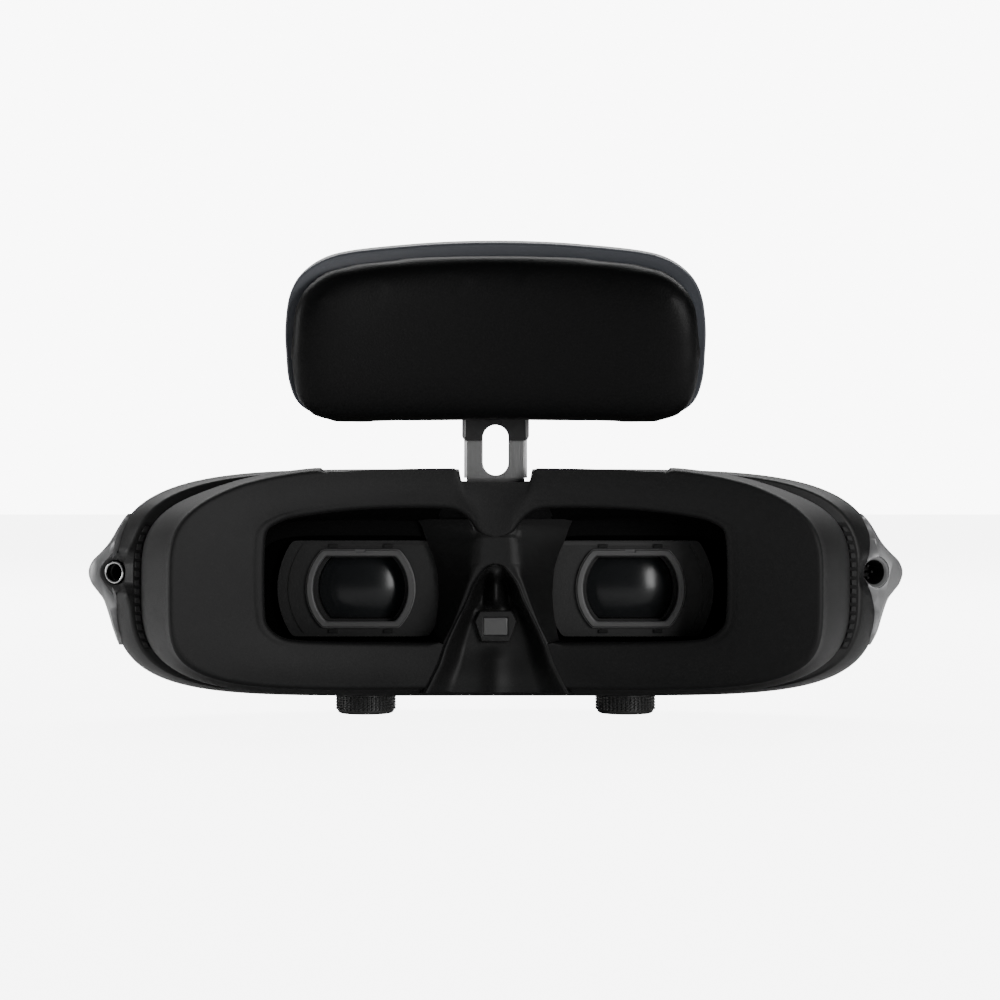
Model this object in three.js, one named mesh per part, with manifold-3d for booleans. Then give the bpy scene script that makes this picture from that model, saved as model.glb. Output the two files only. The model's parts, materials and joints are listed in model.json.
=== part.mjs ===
// Head-worn video goggles for flying a drone: a two-shell housing with two eyepieces that slide apart and
// focus, a soft pull-off face shield, and a padded forehead rest on a slotted bracket.
// Millimetres. +X is the wearer's right, +Y the way the wearer looks, +Z up. The origin is on the table
// under the middle of the goggles, which stand on their two focus knobs.
import * as THREE from "three";
import { mergeVertices } from "three/addons/utils/BufferGeometryUtils.js";
import Module from "manifold-3d";

const wasm = await Module();
wasm.setup();

// ---------- driving dimensions ----------
const GAP = 0.3; // air between neighbouring pieces
const WALL = 2; // housing shell
const EYE = { x: 32, z: 31.5 }; // centre of each eyepiece at rest

// Housing outline: |x / half|^p + |z / height|^q = 1, with its own exponents above and below the middle.
const HOUSING = { mid: 32.6, top: 60, bottom: 5.5, half: 92.2, up: [4, 3.5], down: [6, 3.3] };
const REAR_Y = -7; // back of the rear housing
const SPLIT_Y = 6; // where the two shells meet, at the widest section
const FRONT = { y: 38.62, radius: 190, flat: 6, round: 0.4 }; // nose of the front cover, and its sweep

// Face side: a concave cylinder that follows the wearer's face.
const FACE = {
  y: -18, radius: 154, half: 72.3, mid: 34.6, top: 59.9, bottom: 9.4, up: [3.2, 3.2], down: [6, 6],
};
const SHIELD = {
  y: -7.6, half: 85.2, mid: 33, top: 59.2, bottom: 7.2, up: [3.6, 3.4], down: [6, 3.6], wall: 2.2,
};
const NOTCH = { half: 8.7, floor: 56.7, inner: 55.2, y: -13.6 }; // where the bracket passes the shield

// Side lugs, which carry the sockets and the strap: a bell-shaped bump.
const LUG = {
  z: 35.2, core: 4.0, coreWidth: 5.2, trim: 5.8, trimWidth: 6.2, skin: 0.9, low: 17.6, high: 49.2,
  flat: 98,
};
const SOCKET = { x: 91, y: -1.5, tilt: THREE.MathUtils.degToRad(25), depth: 11 };
const JACK = { hole: 1.85, ring: 2.75, ringHole: 2.1, body: 3.1 };
const CABLE = { hole: 2.9, shell: 3.5, bore: 3.9 };

// Eyepieces: circles cut off flat above and below, written [radius, half height].
const RING = { out: [13, 9.3], in: [11.2, 7.65], y: -7.6, thick: 1.1 };
const BARREL = { out: [12.2, 8.7], in: [10.4, 7.3], y: -3.9, end: 10.4 };
const PLATE = { half: 19.75, height: 11.35, y: -6.2, thick: 1.6 };
const SHUTTER = { inner: 26.8, outer: 29, height: 14, y: -4.5, thick: 1.1 };
const WINDOW = { half: 24.2, height: 12.6 };
const ROD = { r: 1.5, y: 4, above: 17.5, half: 66 };
const DRIVE = { y: 16, knobR: 7.4, knobTop: 5.2, shaftR: 1.5, low: 16.2, high: 19.6, teeth: 12, module: 0.5 };

// Forehead rest.
const BRACKET = {
  half: 6.8, thick: 1.2, y: -12.4, foot: 55.8, top: 96, slot: 3, slotLow: 61.4, slotHigh: 91,
};
// Runs along the housing's top, and holds the bracket's foot.
const GROOVE = { half: 8.7, floor: 57, tub: 10.4 };
const SLIDER = { half: 7.8, low: 66.4, high: 95.5, thick: 1.6, notch: 67.1 };
const PAD = {
  tilt: THREE.MathUtils.degToRad(15), y: -23.5, z: 91.2, half: 47.8, up: 20.6, down: 19.6, shell: 9.5,
  soft: 8.8,
};
const PIN = { y: -17.4, z: 88.6, r: 1.2, half: 12 };

// ---------- materials ----------
const finish = (color, roughness, metalness = 0) =>
  new THREE.MeshStandardMaterial({ color, roughness, metalness });
const BLACK = finish(0x141414, 0.5);
const GLOSS = finish(0x050505, 0.08);
const RUBBER = finish(0x181818, 0.8);
const PADDING = finish(0x101010, 0.6);
const GREY = finish(0x6e6f73, 0.4, 0.6);
const SHELL_GREY = finish(0x3a3c40, 0.5);
const RING_GREY = finish(0x6a6a6a, 0.45);
const STEEL = finish(0xb0b0b4, 0.25, 1);
const GLASS = finish(0x20242a, 0.05);
const BOARD = finish(0x1c3d2a, 0.6);

// ---------- small tools ----------
const root = new THREE.Group();

// A closed geometry as a manifold-3d solid.
function solid(geometry) {
  const bare = geometry.index ? geometry.toNonIndexed() : geometry.clone();
  bare.deleteAttribute("normal");
  bare.deleteAttribute("uv");
  const merged = mergeVertices(bare, 1e-4);
  return new wasm.Manifold(
    new wasm.Mesh({
      numProp: 3,
      vertProperties: merged.attributes.position.array,
      triVerts: new Uint32Array(merged.index.array),
    }),
  );
}

function geometryOf(made) {
  const { vertProperties, triVerts } = made.getMesh();
  return new THREE.BufferGeometry()
    .setAttribute("position", new THREE.BufferAttribute(vertProperties, 3))
    .setIndex(new THREE.BufferAttribute(triVerts, 1));
}

function add(name, made, material) {
  const mesh = new THREE.Mesh(made.isBufferGeometry ? made : geometryOf(made), material);
  mesh.name = name;
  root.add(mesh);
}

const join = (...solids) => solids.reduce((all, one) => all.add(one));
const cut = (from, ...tools) => tools.reduce((left, tool) => left.subtract(tool), from);
const biggest = (made) => made.decompose().sort((a, b) => b.volume() - a.volume())[0];
const mirror = (geometry) => {
  const turned = geometry.clone().scale(-1, 1, 1).toNonIndexed();
  const p = turned.attributes.position;
  for (let i = 0; i < p.count; i += 3)
    for (const get of ["X", "Y", "Z"]) {
      const kept = p["get" + get](i);
      p["set" + get](i, p["get" + get](i + 1));
      p["set" + get](i + 1, kept);
    }
  return turned;
};
const mirrored = (made) => solid(mirror(geometryOf(made)));
const onSide = (side, made) => (side > 0 ? made : mirrored(made));

// A box from its lowest to its highest corner.
function box(x0, x1, y0, y1, z0, z1) {
  const made = new THREE.BoxGeometry(x1 - x0, y1 - y0, z1 - z0);
  return solid(made.translate((x0 + x1) / 2, (y0 + y1) / 2, (z0 + z1) / 2));
}

// A cylinder of length h centred on p, along axis "x", "y" or "z".
function rod(axis, r, h, p, sides = 16) {
  const made = new THREE.CylinderGeometry(r, r, h, sides);
  if (axis === "x") made.rotateZ(Math.PI / 2);
  if (axis === "z") made.rotateX(Math.PI / 2);
  return solid(made.translate(...p));
}

// Rings of points, all of one length, joined into one closed body with a fan at each end.
function loft(rings) {
  const count = rings[0].length;
  const points = rings.flat();
  const faces = [];
  for (let k = 0; k + 1 < rings.length; k++)
    for (let i = 0; i < count; i++) {
      const a = k * count + i;
      const b = k * count + ((i + 1) % count);
      faces.push(a, b, a + count, b, b + count, a + count);
    }
  for (const [ring, first, turn] of [[rings[0], 0, 1], [rings.at(-1), (rings.length - 1) * count, -1]]) {
    const centre = points.push(ring.reduce((s, p) => s.add(p), new THREE.Vector3()).divideScalar(count)) - 1;
    for (let i = 0; i < count; i++) {
      const pair = [first + ((i + 1) % count), first + i];
      if (turn < 0) pair.reverse();
      faces.push(centre, ...pair);
    }
  }
  let volume = 0;
  for (let i = 0; i < faces.length; i += 3) {
    const [a, b, c] = [0, 1, 2].map((j) => points[faces[i + j]]);
    volume += a.dot(new THREE.Vector3().crossVectors(b, c));
  }
  if (volume < 0) faces.reverse();
  return solid(new THREE.BufferGeometry().setFromPoints(points).setIndex(faces));
}

// Evenly spaced [x, z] points round a rounded outline, starting under the middle.
function outline(shape, grow = 0, count = 36) {
  const half = shape.half + grow;
  const up = shape.top - shape.mid + grow;
  const down = shape.mid - shape.bottom + grow;
  const dense = [];
  for (let i = 0; i <= 720; i++) {
    const t = (i / 720) * 2 * Math.PI - Math.PI / 2;
    const [p, q] = Math.sin(t) > 0 ? shape.up : shape.down;
    const x = half * Math.sign(Math.cos(t)) * Math.abs(Math.cos(t)) ** (2 / p);
    const z = Math.sign(Math.sin(t)) * Math.abs(Math.sin(t)) ** (2 / q);
    dense.push(new THREE.Vector2(x, shape.mid + z * (z > 0 ? up : down)));
  }
  return resample(dense, count);
}

function resample(dense, count) {
  const along = [0];
  for (let i = 1; i < dense.length; i++) along.push(along[i - 1] + dense[i].distanceTo(dense[i - 1]));
  const picked = [];
  for (let i = 0, k = 0; i < count; i++) {
    const want = (along.at(-1) * i) / count;
    while (along[k + 1] < want) k++;
    const share = (want - along[k]) / (along[k + 1] - along[k] || 1);
    picked.push(dense[k].clone().lerp(dense[k + 1], share));
  }
  return picked;
}

const ringAt = (points, y) => points.map(
  (p) => new THREE.Vector3(p.x, typeof y === "function" ? y(p.x) : y, p.y),
);

// A smooth closed outline through a few [x, z] points, cut to an even count.
function smooth(points, count = 18) {
  const curve = new THREE.CatmullRomCurve3(
    points.map(([x, z]) => new THREE.Vector3(x, z, 0)),
    true,
    "catmullrom",
    0.5,
  );
  return resample(curve.getPoints(240).map((p) => new THREE.Vector2(p.x, p.y)), count);
}

// A solid along Y with the same [x, z] outline all the way.
const prism = (points, y0, y1) => loft([ringAt(points, y0), ringAt(points, y1)]);

// A circle cut off flat above and below.
function flatCircle([r, h], x = EYE.x, z = EYE.z, arc = 9) {
  const points = [];
  const reach = Math.asin(h / r);
  for (const turn of [0, Math.PI])
    for (let i = 0; i <= arc; i++) {
      const t = turn - reach + (2 * reach * i) / arc;
      points.push(new THREE.Vector2(x + r * Math.cos(t), z + r * Math.sin(t)));
    }
  return points;
}

// ---------- housing ----------
const frontY = (x) => FRONT.y - (FRONT.radius - Math.sqrt(FRONT.radius ** 2 - x * x));
const SHARES = [1, 0.98, 0.94, 0.85, 0.66, 0.35];

// The front cover's solid form: it rises from the split to the swept nose, well rounded at the rim.
function nose(grow, from = SPLIT_Y) {
  const edge = outline(HOUSING, grow);
  const rings = SHARES.map((s) =>
    edge.map((p) => {
      const x = p.x * s;
      const rise = (1 - s ** FRONT.flat) ** FRONT.round;
      return new THREE.Vector3(
        x, from + (frontY(x) + grow - from) * rise, HOUSING.mid + (p.y - HOUSING.mid) * s,
      );
    }),
  );
  return loft(rings);
}

// Half width that the side of the rear housing loses towards its back edge.
const BAND = [[REAR_Y, -5.9], [-2.5, -2.4], [SPLIT_Y, 0]];
function band(grow, from = REAR_Y, to = SPLIT_Y) {
  const rings = BAND.map(([y, lost]) => {
    const shape = {
      ...HOUSING, half: HOUSING.half + lost, top: HOUSING.top + lost * 0.1,
      bottom: HOUSING.bottom - lost * 0.25,
    };
    return ringAt(outline(shape, grow), y === REAR_Y ? from : y === SPLIT_Y ? to : y);
  });
  return loft(rings);
}

const bump = (z, width) => Math.exp(-(((z - LUG.z) / width) ** 2));

// A bell-shaped side piece: for each height, the housing's own side plus an offset that fades along Y.
function bell(rows, offset, inner) {
  const heights = Array.from({ length: 13 }, (_, i) => LUG.low + ((LUG.high - LUG.low) * i) / 12);
  const side = (z) => {
    const span = z > HOUSING.mid ? HOUSING.top - HOUSING.mid : HOUSING.mid - HOUSING.bottom;
    const v = Math.abs(z - HOUSING.mid) / span;
    const [p, q] = z > HOUSING.mid ? HOUSING.up : HOUSING.down;
    return HOUSING.half * (1 - v ** q) ** (1 / p);
  };
  return loft(
    rows.map(([y, lost, share]) => [
      ...heights.map((z) => new THREE.Vector3(side(z) + lost + offset(z) * share, y, z)),
      ...heights.toReversed().map((z) => new THREE.Vector3(side(z) - inner, y, z)),
    ]),
  );
}

// All that lies behind the slanted plane a socket opens in, at right angles to the socket's axis.
function behindFace(grow) {
  const made = new THREE.BoxGeometry(60, 40, 60).translate(0, -20 - grow, 0);
  return solid(made.rotateZ(SOCKET.tilt).translate(SOCKET.x, SOCKET.y, LUG.z));
}

// The dark ear of the rear shell round the audio jack.
function ear(grow) {
  const rows = [[-9, -1.5, 1], [-2, -0.9, 1], [4, -0.2, 1], [8, -0.8, 0.6], [11, -3.4, 0.1]];
  return cut(bell(rows, (z) => grow + LUG.core * bump(z, LUG.coreWidth), 8), behindFace(grow));
}

// The axis of a socket leaves the lug backwards and outwards.
function socketRod(r, from, to, sides = 16) {
  const made = new THREE.CylinderGeometry(r, r, to - from, sides).translate(0, (from + to) / 2, 0);
  return solid(made.rotateZ(SOCKET.tilt).translate(SOCKET.x, SOCKET.y, LUG.z));
}

const eyeTunnelWall = 1.6;
const shieldBody = shieldSolid();

function housing() {
  const outer = band(0);
  const hollow = band(-WALL, REAR_Y + WALL, SPLIT_Y + 1);
  const tub = box(-GROOVE.tub, GROOVE.tub, REAR_Y + 1, SPLIT_Y, 53.5, HOUSING.top - 0.5).intersect(outer);
  const leftEar = mirrored(ear(0).intersect(box(80, 110, REAR_Y, SPLIT_Y, 0, 80)));
  const shell = join(cut(join(outer, leftEar), hollow), tub);
  const rodMounts = [-1, 1].flatMap((side) =>
    [-1, 1].map((up) => {
      const z = EYE.z + up * ROD.above;
      return onSide(side, box(ROD.half - 2, ROD.half + 2, REAR_Y + 1, SPLIT_Y - 0.3, z - 3, z + 3));
    }),
  );
  const windows = [-1, 1].map(
    (side) => prism(
      flatRound(side * EYE.x, EYE.z, WINDOW.half, WINDOW.height, 6),
      REAR_Y - 1,
      REAR_Y + WALL + 0.5,
    ),
  );
  const rods = [-1, 1].map(
    (up) => rod("x", ROD.r + 0.15, 2 * ROD.half + 2, [0, ROD.y, EYE.z + up * ROD.above]),
  );
  const screws = screwPlaces().flatMap(
    ([x, z]) => [rod("y", 1.45, 12, [x, REAR_Y, z]), rod("y", 2.7, 2.4, [x, REAR_Y, z])],
  );
  const seat = BRACKET.half + GAP;
  const footSlot = box(-seat, seat, REAR_Y - 1, SPLIT_Y + 1, BRACKET.foot - GAP, GROOVE.floor + 1);
  const footScrews = [-1, 1].map((side) => rod("z", 1.35, 8, [side * 4.6, 1, 56]));
  const ventGroove = [-1, 1].map((side) => onSide(side, ventArc(84.1, 86.15, REAR_Y - 1, REAR_Y + 1.3, 0.5)));
  const sensorSeat = box(-3.5, 3.5, REAR_Y - 1, REAR_Y + WALL + 1, SENSOR.z - 2, SENSOR.z + 2);
  const holes = [...rods, ...screws, footSlot, ...footScrews, topGroove(), ...socketPockets()];
  const made = cut(join(shell, ...rodMounts), ...windows, ...holes, ...ventGroove, sensorSeat);
  add("rear_housing", biggest(made), BLACK);
}

// A rounded rectangle of [x, z] points.
function flatRound(cx, cz, hx, hz, r, arc = 4) {
  const points = [];
  [[1, 1], [-1, 1], [-1, -1], [1, -1]].forEach(([sx, sz], k) => {
    for (let i = 0; i <= arc; i++) {
      const t = ((k + i / arc) * Math.PI) / 2;
      points.push(
        new THREE.Vector2(cx + sx * (hx - r) + r * Math.cos(t), cz + sz * (hz - r) + r * Math.sin(t)),
      );
    }
  });
  return points;
}

function screwPlaces() {
  return [[-75, 24], [-75, 44], [75, 24], [75, 44]];
}

// The groove along the top of both shells, clear through from back to front.
function topGroove() {
  return box(-GROOVE.half, GROOVE.half, REAR_Y - 1, FRONT.y + 2, GROOVE.floor, HOUSING.top + 2);
}

function socketPockets() {
  const end = SOCKET.depth + 1;
  const jack = join(socketRod(JACK.ring + GAP, -8, 1.6), socketRod(JACK.body + GAP, 0.8, end));
  return [mirrored(jack), socketRod(CABLE.shell + GAP, -8, end)];
}

const VISOR = { half: 76, mid: 33, top: 51.5, bottom: 15, up: [4.5, 3], down: [4.5, 3] };

function frontCover() {
  const shell = cut(nose(0), nose(-WALL, SPLIT_Y - 1));
  const pocket = cut(prism(outline(VISOR, GAP, 28), SPLIT_Y, FRONT.y + 1), nose(0).translate([0, -1.4, 0]));
  const slots = [-1, 1].map(
    (side) => box(side * EYE.x - 6.2, side * EYE.x + 6.2, DRIVE.y - 2.2, DRIVE.y + 2.2, 3, 10),
  );
  const bosses = screwPlaces().map(
    ([x, z]) => rod("y", 3.2, 30, [x, SPLIT_Y + 15, z], 12).intersect(nose(-0.8)),
  );
  const holes = screwPlaces().map(([x, z]) => rod("y", 1.4, 8, [x, SPLIT_Y + 2.4, z], 10));
  const tub = box(-GROOVE.tub, GROOVE.tub, SPLIT_Y, 34, 55, HOUSING.top).intersect(nose(-0.5));
  const cover = cut(join(shell, ...bosses, tub), pocket, ...slots, ...holes, ...socketPockets(), topGroove());
  add("front_cover", biggest(cover).translate([0, GAP, 0]), BLACK);
  const visor = cut(
    nose(0).translate([0, -0.1, 0]).intersect(prism(outline(VISOR, 0, 28), SPLIT_Y, FRONT.y + 1)),
    nose(0).translate([0, -1.1, 0]),
  );
  add("visor_panel", visor.translate([0, GAP, 0]), GLOSS);
}

function lugs() {
  const clear = join(band(GAP), nose(GAP), nose(GAP).translate([0, GAP, 0]));
  for (const [side, name] of [[-1, "left"], [1, "right"]]) {
    const rows = [
      [-3.4, -2.6, 1], [-2, -1.6, 1], [4, 0, 1], [8, 0, 0.85], [12, -1.8, 0.4], [14.5, -4.6, 0.1],
    ];
    const raw = bell(rows, (z) => LUG.skin + LUG.trim * bump(z, LUG.trimWidth), 7);
    const room = side < 0 ? join(ear(GAP), socketRod(JACK.body + GAP, -6, 3)) : socketRod(CABLE.bore, -6, 6);
    const flat = box(LUG.flat, 104, -20, 30, 20, 50);
    add("side_trim_" + name, onSide(side, biggest(cut(raw, clear, room, behindFace(0), flat))), GREY);
  }
}

function sockets() {
  const jackRing = cut(socketRod(JACK.ring, -0.7, 0.8, 24), socketRod(JACK.ringHole, -2, 3, 24));
  const jackBody = cut(
    socketRod(JACK.body, 1.1, SOCKET.depth, 20),
    socketRod(JACK.hole, 0, SOCKET.depth - 1.5, 16),
  );
  add("audio_jack_ring", mirrored(jackRing), STEEL);
  add("audio_jack_body", mirrored(jackBody), BLACK);
  const shell = cut(
    socketRod(CABLE.shell, 0.9, SOCKET.depth, 24),
    socketRod(CABLE.hole, -2, SOCKET.depth - 1.5, 24),
  );
  add("cable_socket_shell", shell, BLACK);
  const insert = socketRod(CABLE.hole - GAP, SOCKET.depth - 4.4, SOCKET.depth - 1.8, 16);
  const pins = [0, 1, 2, 3, 4].map((i) => {
    const t = (i / 5) * 2 * Math.PI;
    const pin = new THREE.CylinderGeometry(0.3, 0.3, 3.6, 8).translate(
      1.5 * Math.cos(t), SOCKET.depth - 5.4, 1.5 * Math.sin(t),
    );
    return solid(pin.rotateZ(SOCKET.tilt).translate(SOCKET.x, SOCKET.y, LUG.z));
  });
  add("cable_socket_contacts", join(insert, ...pins), STEEL);
}

// An arc-shaped strip that follows the side of the shield, from angle to angle in height.
function ventArc(x0, x1, y0, y1, grow = 0) {
  const heights = Array.from({ length: 9 }, (_, i) => 17.2 - grow + ((47.2 - 17.2 + 2 * grow) * i) / 8);
  const bend = (z) => -((z - 31) ** 2) / 62;
  const corner = (x, y, z) => new THREE.Vector3(x + bend(z), y, z);
  return loft(
    heights.map((z) => [corner(x0, y0, z), corner(x1, y0, z), corner(x1, y1, z), corner(x0, y1, z)]),
  );
}

function vents() {
  for (const [side, name] of [[-1, "left"], [1, "right"]]) {
    const strip = ventArc(84.4, 85.9, REAR_Y - 0.1, REAR_Y + 1);
    const ribs = Array.from({ length: 12 }, (_, i) => {
      const z = 18.4 + i * 2.45;
      const x = 85.1 - (z - 31) ** 2 / 62;
      return box(x - 0.45, x + 0.45, REAR_Y - 0.35, REAR_Y + 0.4, z - 0.85, z + 0.85);
    });
    add("vent_strip_" + name, onSide(side, join(strip, ...ribs)), BLACK);
  }
}

// ---------- face shield ----------
function faceY(x, grow = 0) {
  const r = FACE.radius;
  return FACE.y - grow - (r - Math.sqrt(r * r - x * x));
}

function shieldSolid() {
  const wrap = (grow, front, back) => {
    const a = outline(SHIELD, grow);
    const b = outline(FACE, grow);
    const rings = [0, 0.4, 0.8, 1].map((s) => {
      const out = Math.sin(s * Math.PI) * 1.2;
      return a.map((p, i) => {
        const x = p.x + (b[i].x - p.x) * s;
        const z = p.y + (b[i].y - p.y) * s;
        const y = front + (faceY(b[i].x, back) - front) * s;
        return new THREE.Vector3(x + (Math.sign(x) * out * Math.abs(x)) / FACE.half, y, z);
      });
    });
    const cap = [0.8, 0.5, 0.2].map((s) =>
      b.map((p) => new THREE.Vector3(p.x * s, faceY(p.x * s, back), FACE.mid + (p.y - FACE.mid) * s)),
    );
    return loft([...rings, ...cap]);
  };
  // Each eye looks through a tunnel that widens forwards to the eyepiece.
  const opening = [
    [5.6, 43.6], [7.4, 48.9], [11.5, 50.5], [28, 50.5], [45.5, 48.5], [51.6, 45], [53, 36],
    [52.6, 25.2], [49, 21], [40, 19.9], [22, 19.6], [12.9, 19.6], [9.8, 25.4], [6.7, 34.2],
  ];
  const inside = [
    [11.6, 42], [12.2, 46.4], [17, 47.6], [28, 47.8], [47, 47.6], [55, 44.5], [57, 36], [56.4, 24.4],
    [52, 19.2], [42, 18.4], [24, 18.4], [14.6, 19.4], [12.2, 25], [11.4, 34],
  ];
  const tunnel = (grow, from, to) => {
    const back = smooth(opening).map((p) => p.clone());
    const front = smooth(inside);
    const centre = new THREE.Vector2(32, 34);
    const grown = (points) => points.map(
      (p) => p.clone().add(p.clone().sub(centre).normalize().multiplyScalar(grow)),
    );
    const [rear, fore] = [grown(back), grown(front)];
    const rings = [-0.6, 0, 1, 1.3].map((s) =>
      rear.map((p, i) => {
        const x = p.x + (fore[i].x - p.x) * Math.max(0, Math.min(1, s));
        const z = p.y + (fore[i].y - p.y) * Math.max(0, Math.min(1, s));
        return new THREE.Vector3(x, from(x) + (to - from(x)) * s, z);
      }),
    );
    return loft(rings);
  };
  const nostril = (() => {
    const edge = (grow) => [
      [0, 37.8 - grow], [3.2 - grow * 0.5, 35.6 - grow], [6.8 - grow, 28.4 - grow],
      [11.4 - grow, 18.8 - grow], [16 - grow, 8.5], [18 - grow, 3],
    ];
    const ring = (grow, y) => {
      const half = edge(grow);
      const points = [...half, ...half.slice(1).reverse().map(([x, z]) => [-x, z])];
      return points.map(([x, z]) => new THREE.Vector3(x, y, z));
    };
    return loft([ring(0, -40), ring(0, -17.4), ring(1.2, -13), ring(3.4, SHIELD.y - 1.7)]);
  })();
  return { wrap, tunnel, nostril };
}

const SENSOR = { z: 22.4, half: 5.2, height: 3.6, y: -11.6 };

function hexagon(grow, y0, y1) {
  const { half, height, z } = SENSOR;
  const corners = [
    [half * 0.62, -height], [half, height * 0.45], [half * 0.72, height], [-half * 0.72, height],
    [-half, height * 0.45], [-half * 0.62, -height],
  ];
  const points = corners.map(
    ([x, dz]) => new THREE.Vector2(x + Math.sign(x) * grow, z + dz + Math.sign(dz) * grow),
  );
  return prism(points, y0, y1);
}

function faceShield() {
  const { wrap, tunnel, nostril } = shieldBody;
  const outer = wrap(0, SHIELD.y, 0);
  const hollow = wrap(-SHIELD.wall, SHIELD.y + 3, -SHIELD.wall);
  const back = (x) => faceY(x);
  const sleeve = tunnel(eyeTunnelWall, back, SHIELD.y);
  const bore = tunnel(0, back, SHIELD.y);
  const bridge = box(-15, 15, -30, SHIELD.y, 5, 57).intersect(outer);
  const skin = join(cut(outer, hollow), sleeve.intersect(outer), mirrored(sleeve).intersect(outer), bridge);
  const notch = [
    box(-NOTCH.half, NOTCH.half, -30, SHIELD.y + 1, NOTCH.floor, 70),
    box(-NOTCH.half, NOTCH.half, NOTCH.y, SHIELD.y + 1, NOTCH.inner, 70),
  ];
  const sensorHole = hexagon(0.5, -30, SHIELD.y + 1);
  const seat = box(-84, 84, SHIELD.y - 1.2, SHIELD.y + 1, 0, 70).intersect(wrap(-3.2, SHIELD.y + 3, 0));
  const whole = cut(skin, bore, mirrored(bore), nostril, ...notch, sensorHole);
  // The nose bridge is a softer piece, set into the shield between the eyes.
  const half = (grow) => [
    [5.9 + grow, 43.4 + grow], [7.4 + grow, 34], [11.2 + grow, 24.6], [15.2 + grow, 17], [19 + grow, 7],
  ];
  const nosePrism = (grow) => {
    const side = half(grow);
    const points = [...side, ...side.toReversed().map(([x, z]) => [-x, z])];
    return prism(points.map(([x, z]) => new THREE.Vector2(x, z - (z < 8 ? 4 : 0))), -40, SHIELD.y + 2);
  };
  add("face_shield", biggest(cut(whole, nosePrism(0.3), seat)), RUBBER);
  add("nose_bridge", biggest(whole.intersect(nosePrism(0)).subtract(seat)), RUBBER);
  // A stiff frame behind the soft shield, held to the housing by magnets.
  const frameTop = ringAt(outline(SHIELD, -4), SHIELD.y - 0.9);
  const plate = loft([frameTop, ringAt(outline(SHIELD, -4), SHIELD.y)]);
  const frame = cut(
    plate,
    tunnel(-0.2, back, SHIELD.y + 0.01).add(mirrored(tunnel(-0.2, back, SHIELD.y + 0.01))),
    hexagon(1.2, -12, 0),
    ...notch.map((n) => n.translate([0, 0, -1])),
  );
  add("shield_frame", biggest(frame), BLACK);
}

// ---------- nose sensor ----------
function sensor() {
  const window = box(-2.85, 2.85, SENSOR.y - 0.1, SENSOR.y + 0.7, SENSOR.z - 2.05, SENSOR.z + 2.05);
  const seat = box(-3.05, 3.05, SENSOR.y - 1, SENSOR.y + 0.95, SENSOR.z - 2.25, SENSOR.z + 2.25);
  const stem = box(-3.2, 3.2, REAR_Y - 0.5, REAR_Y + 1.6, SENSOR.z - 1.7, SENSOR.z + 1.7);
  add("sensor_housing", cut(join(hexagon(0, SENSOR.y, REAR_Y - GAP), stem), seat), BLACK);
  add("sensor_window", window, RING_GREY);
}

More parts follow.
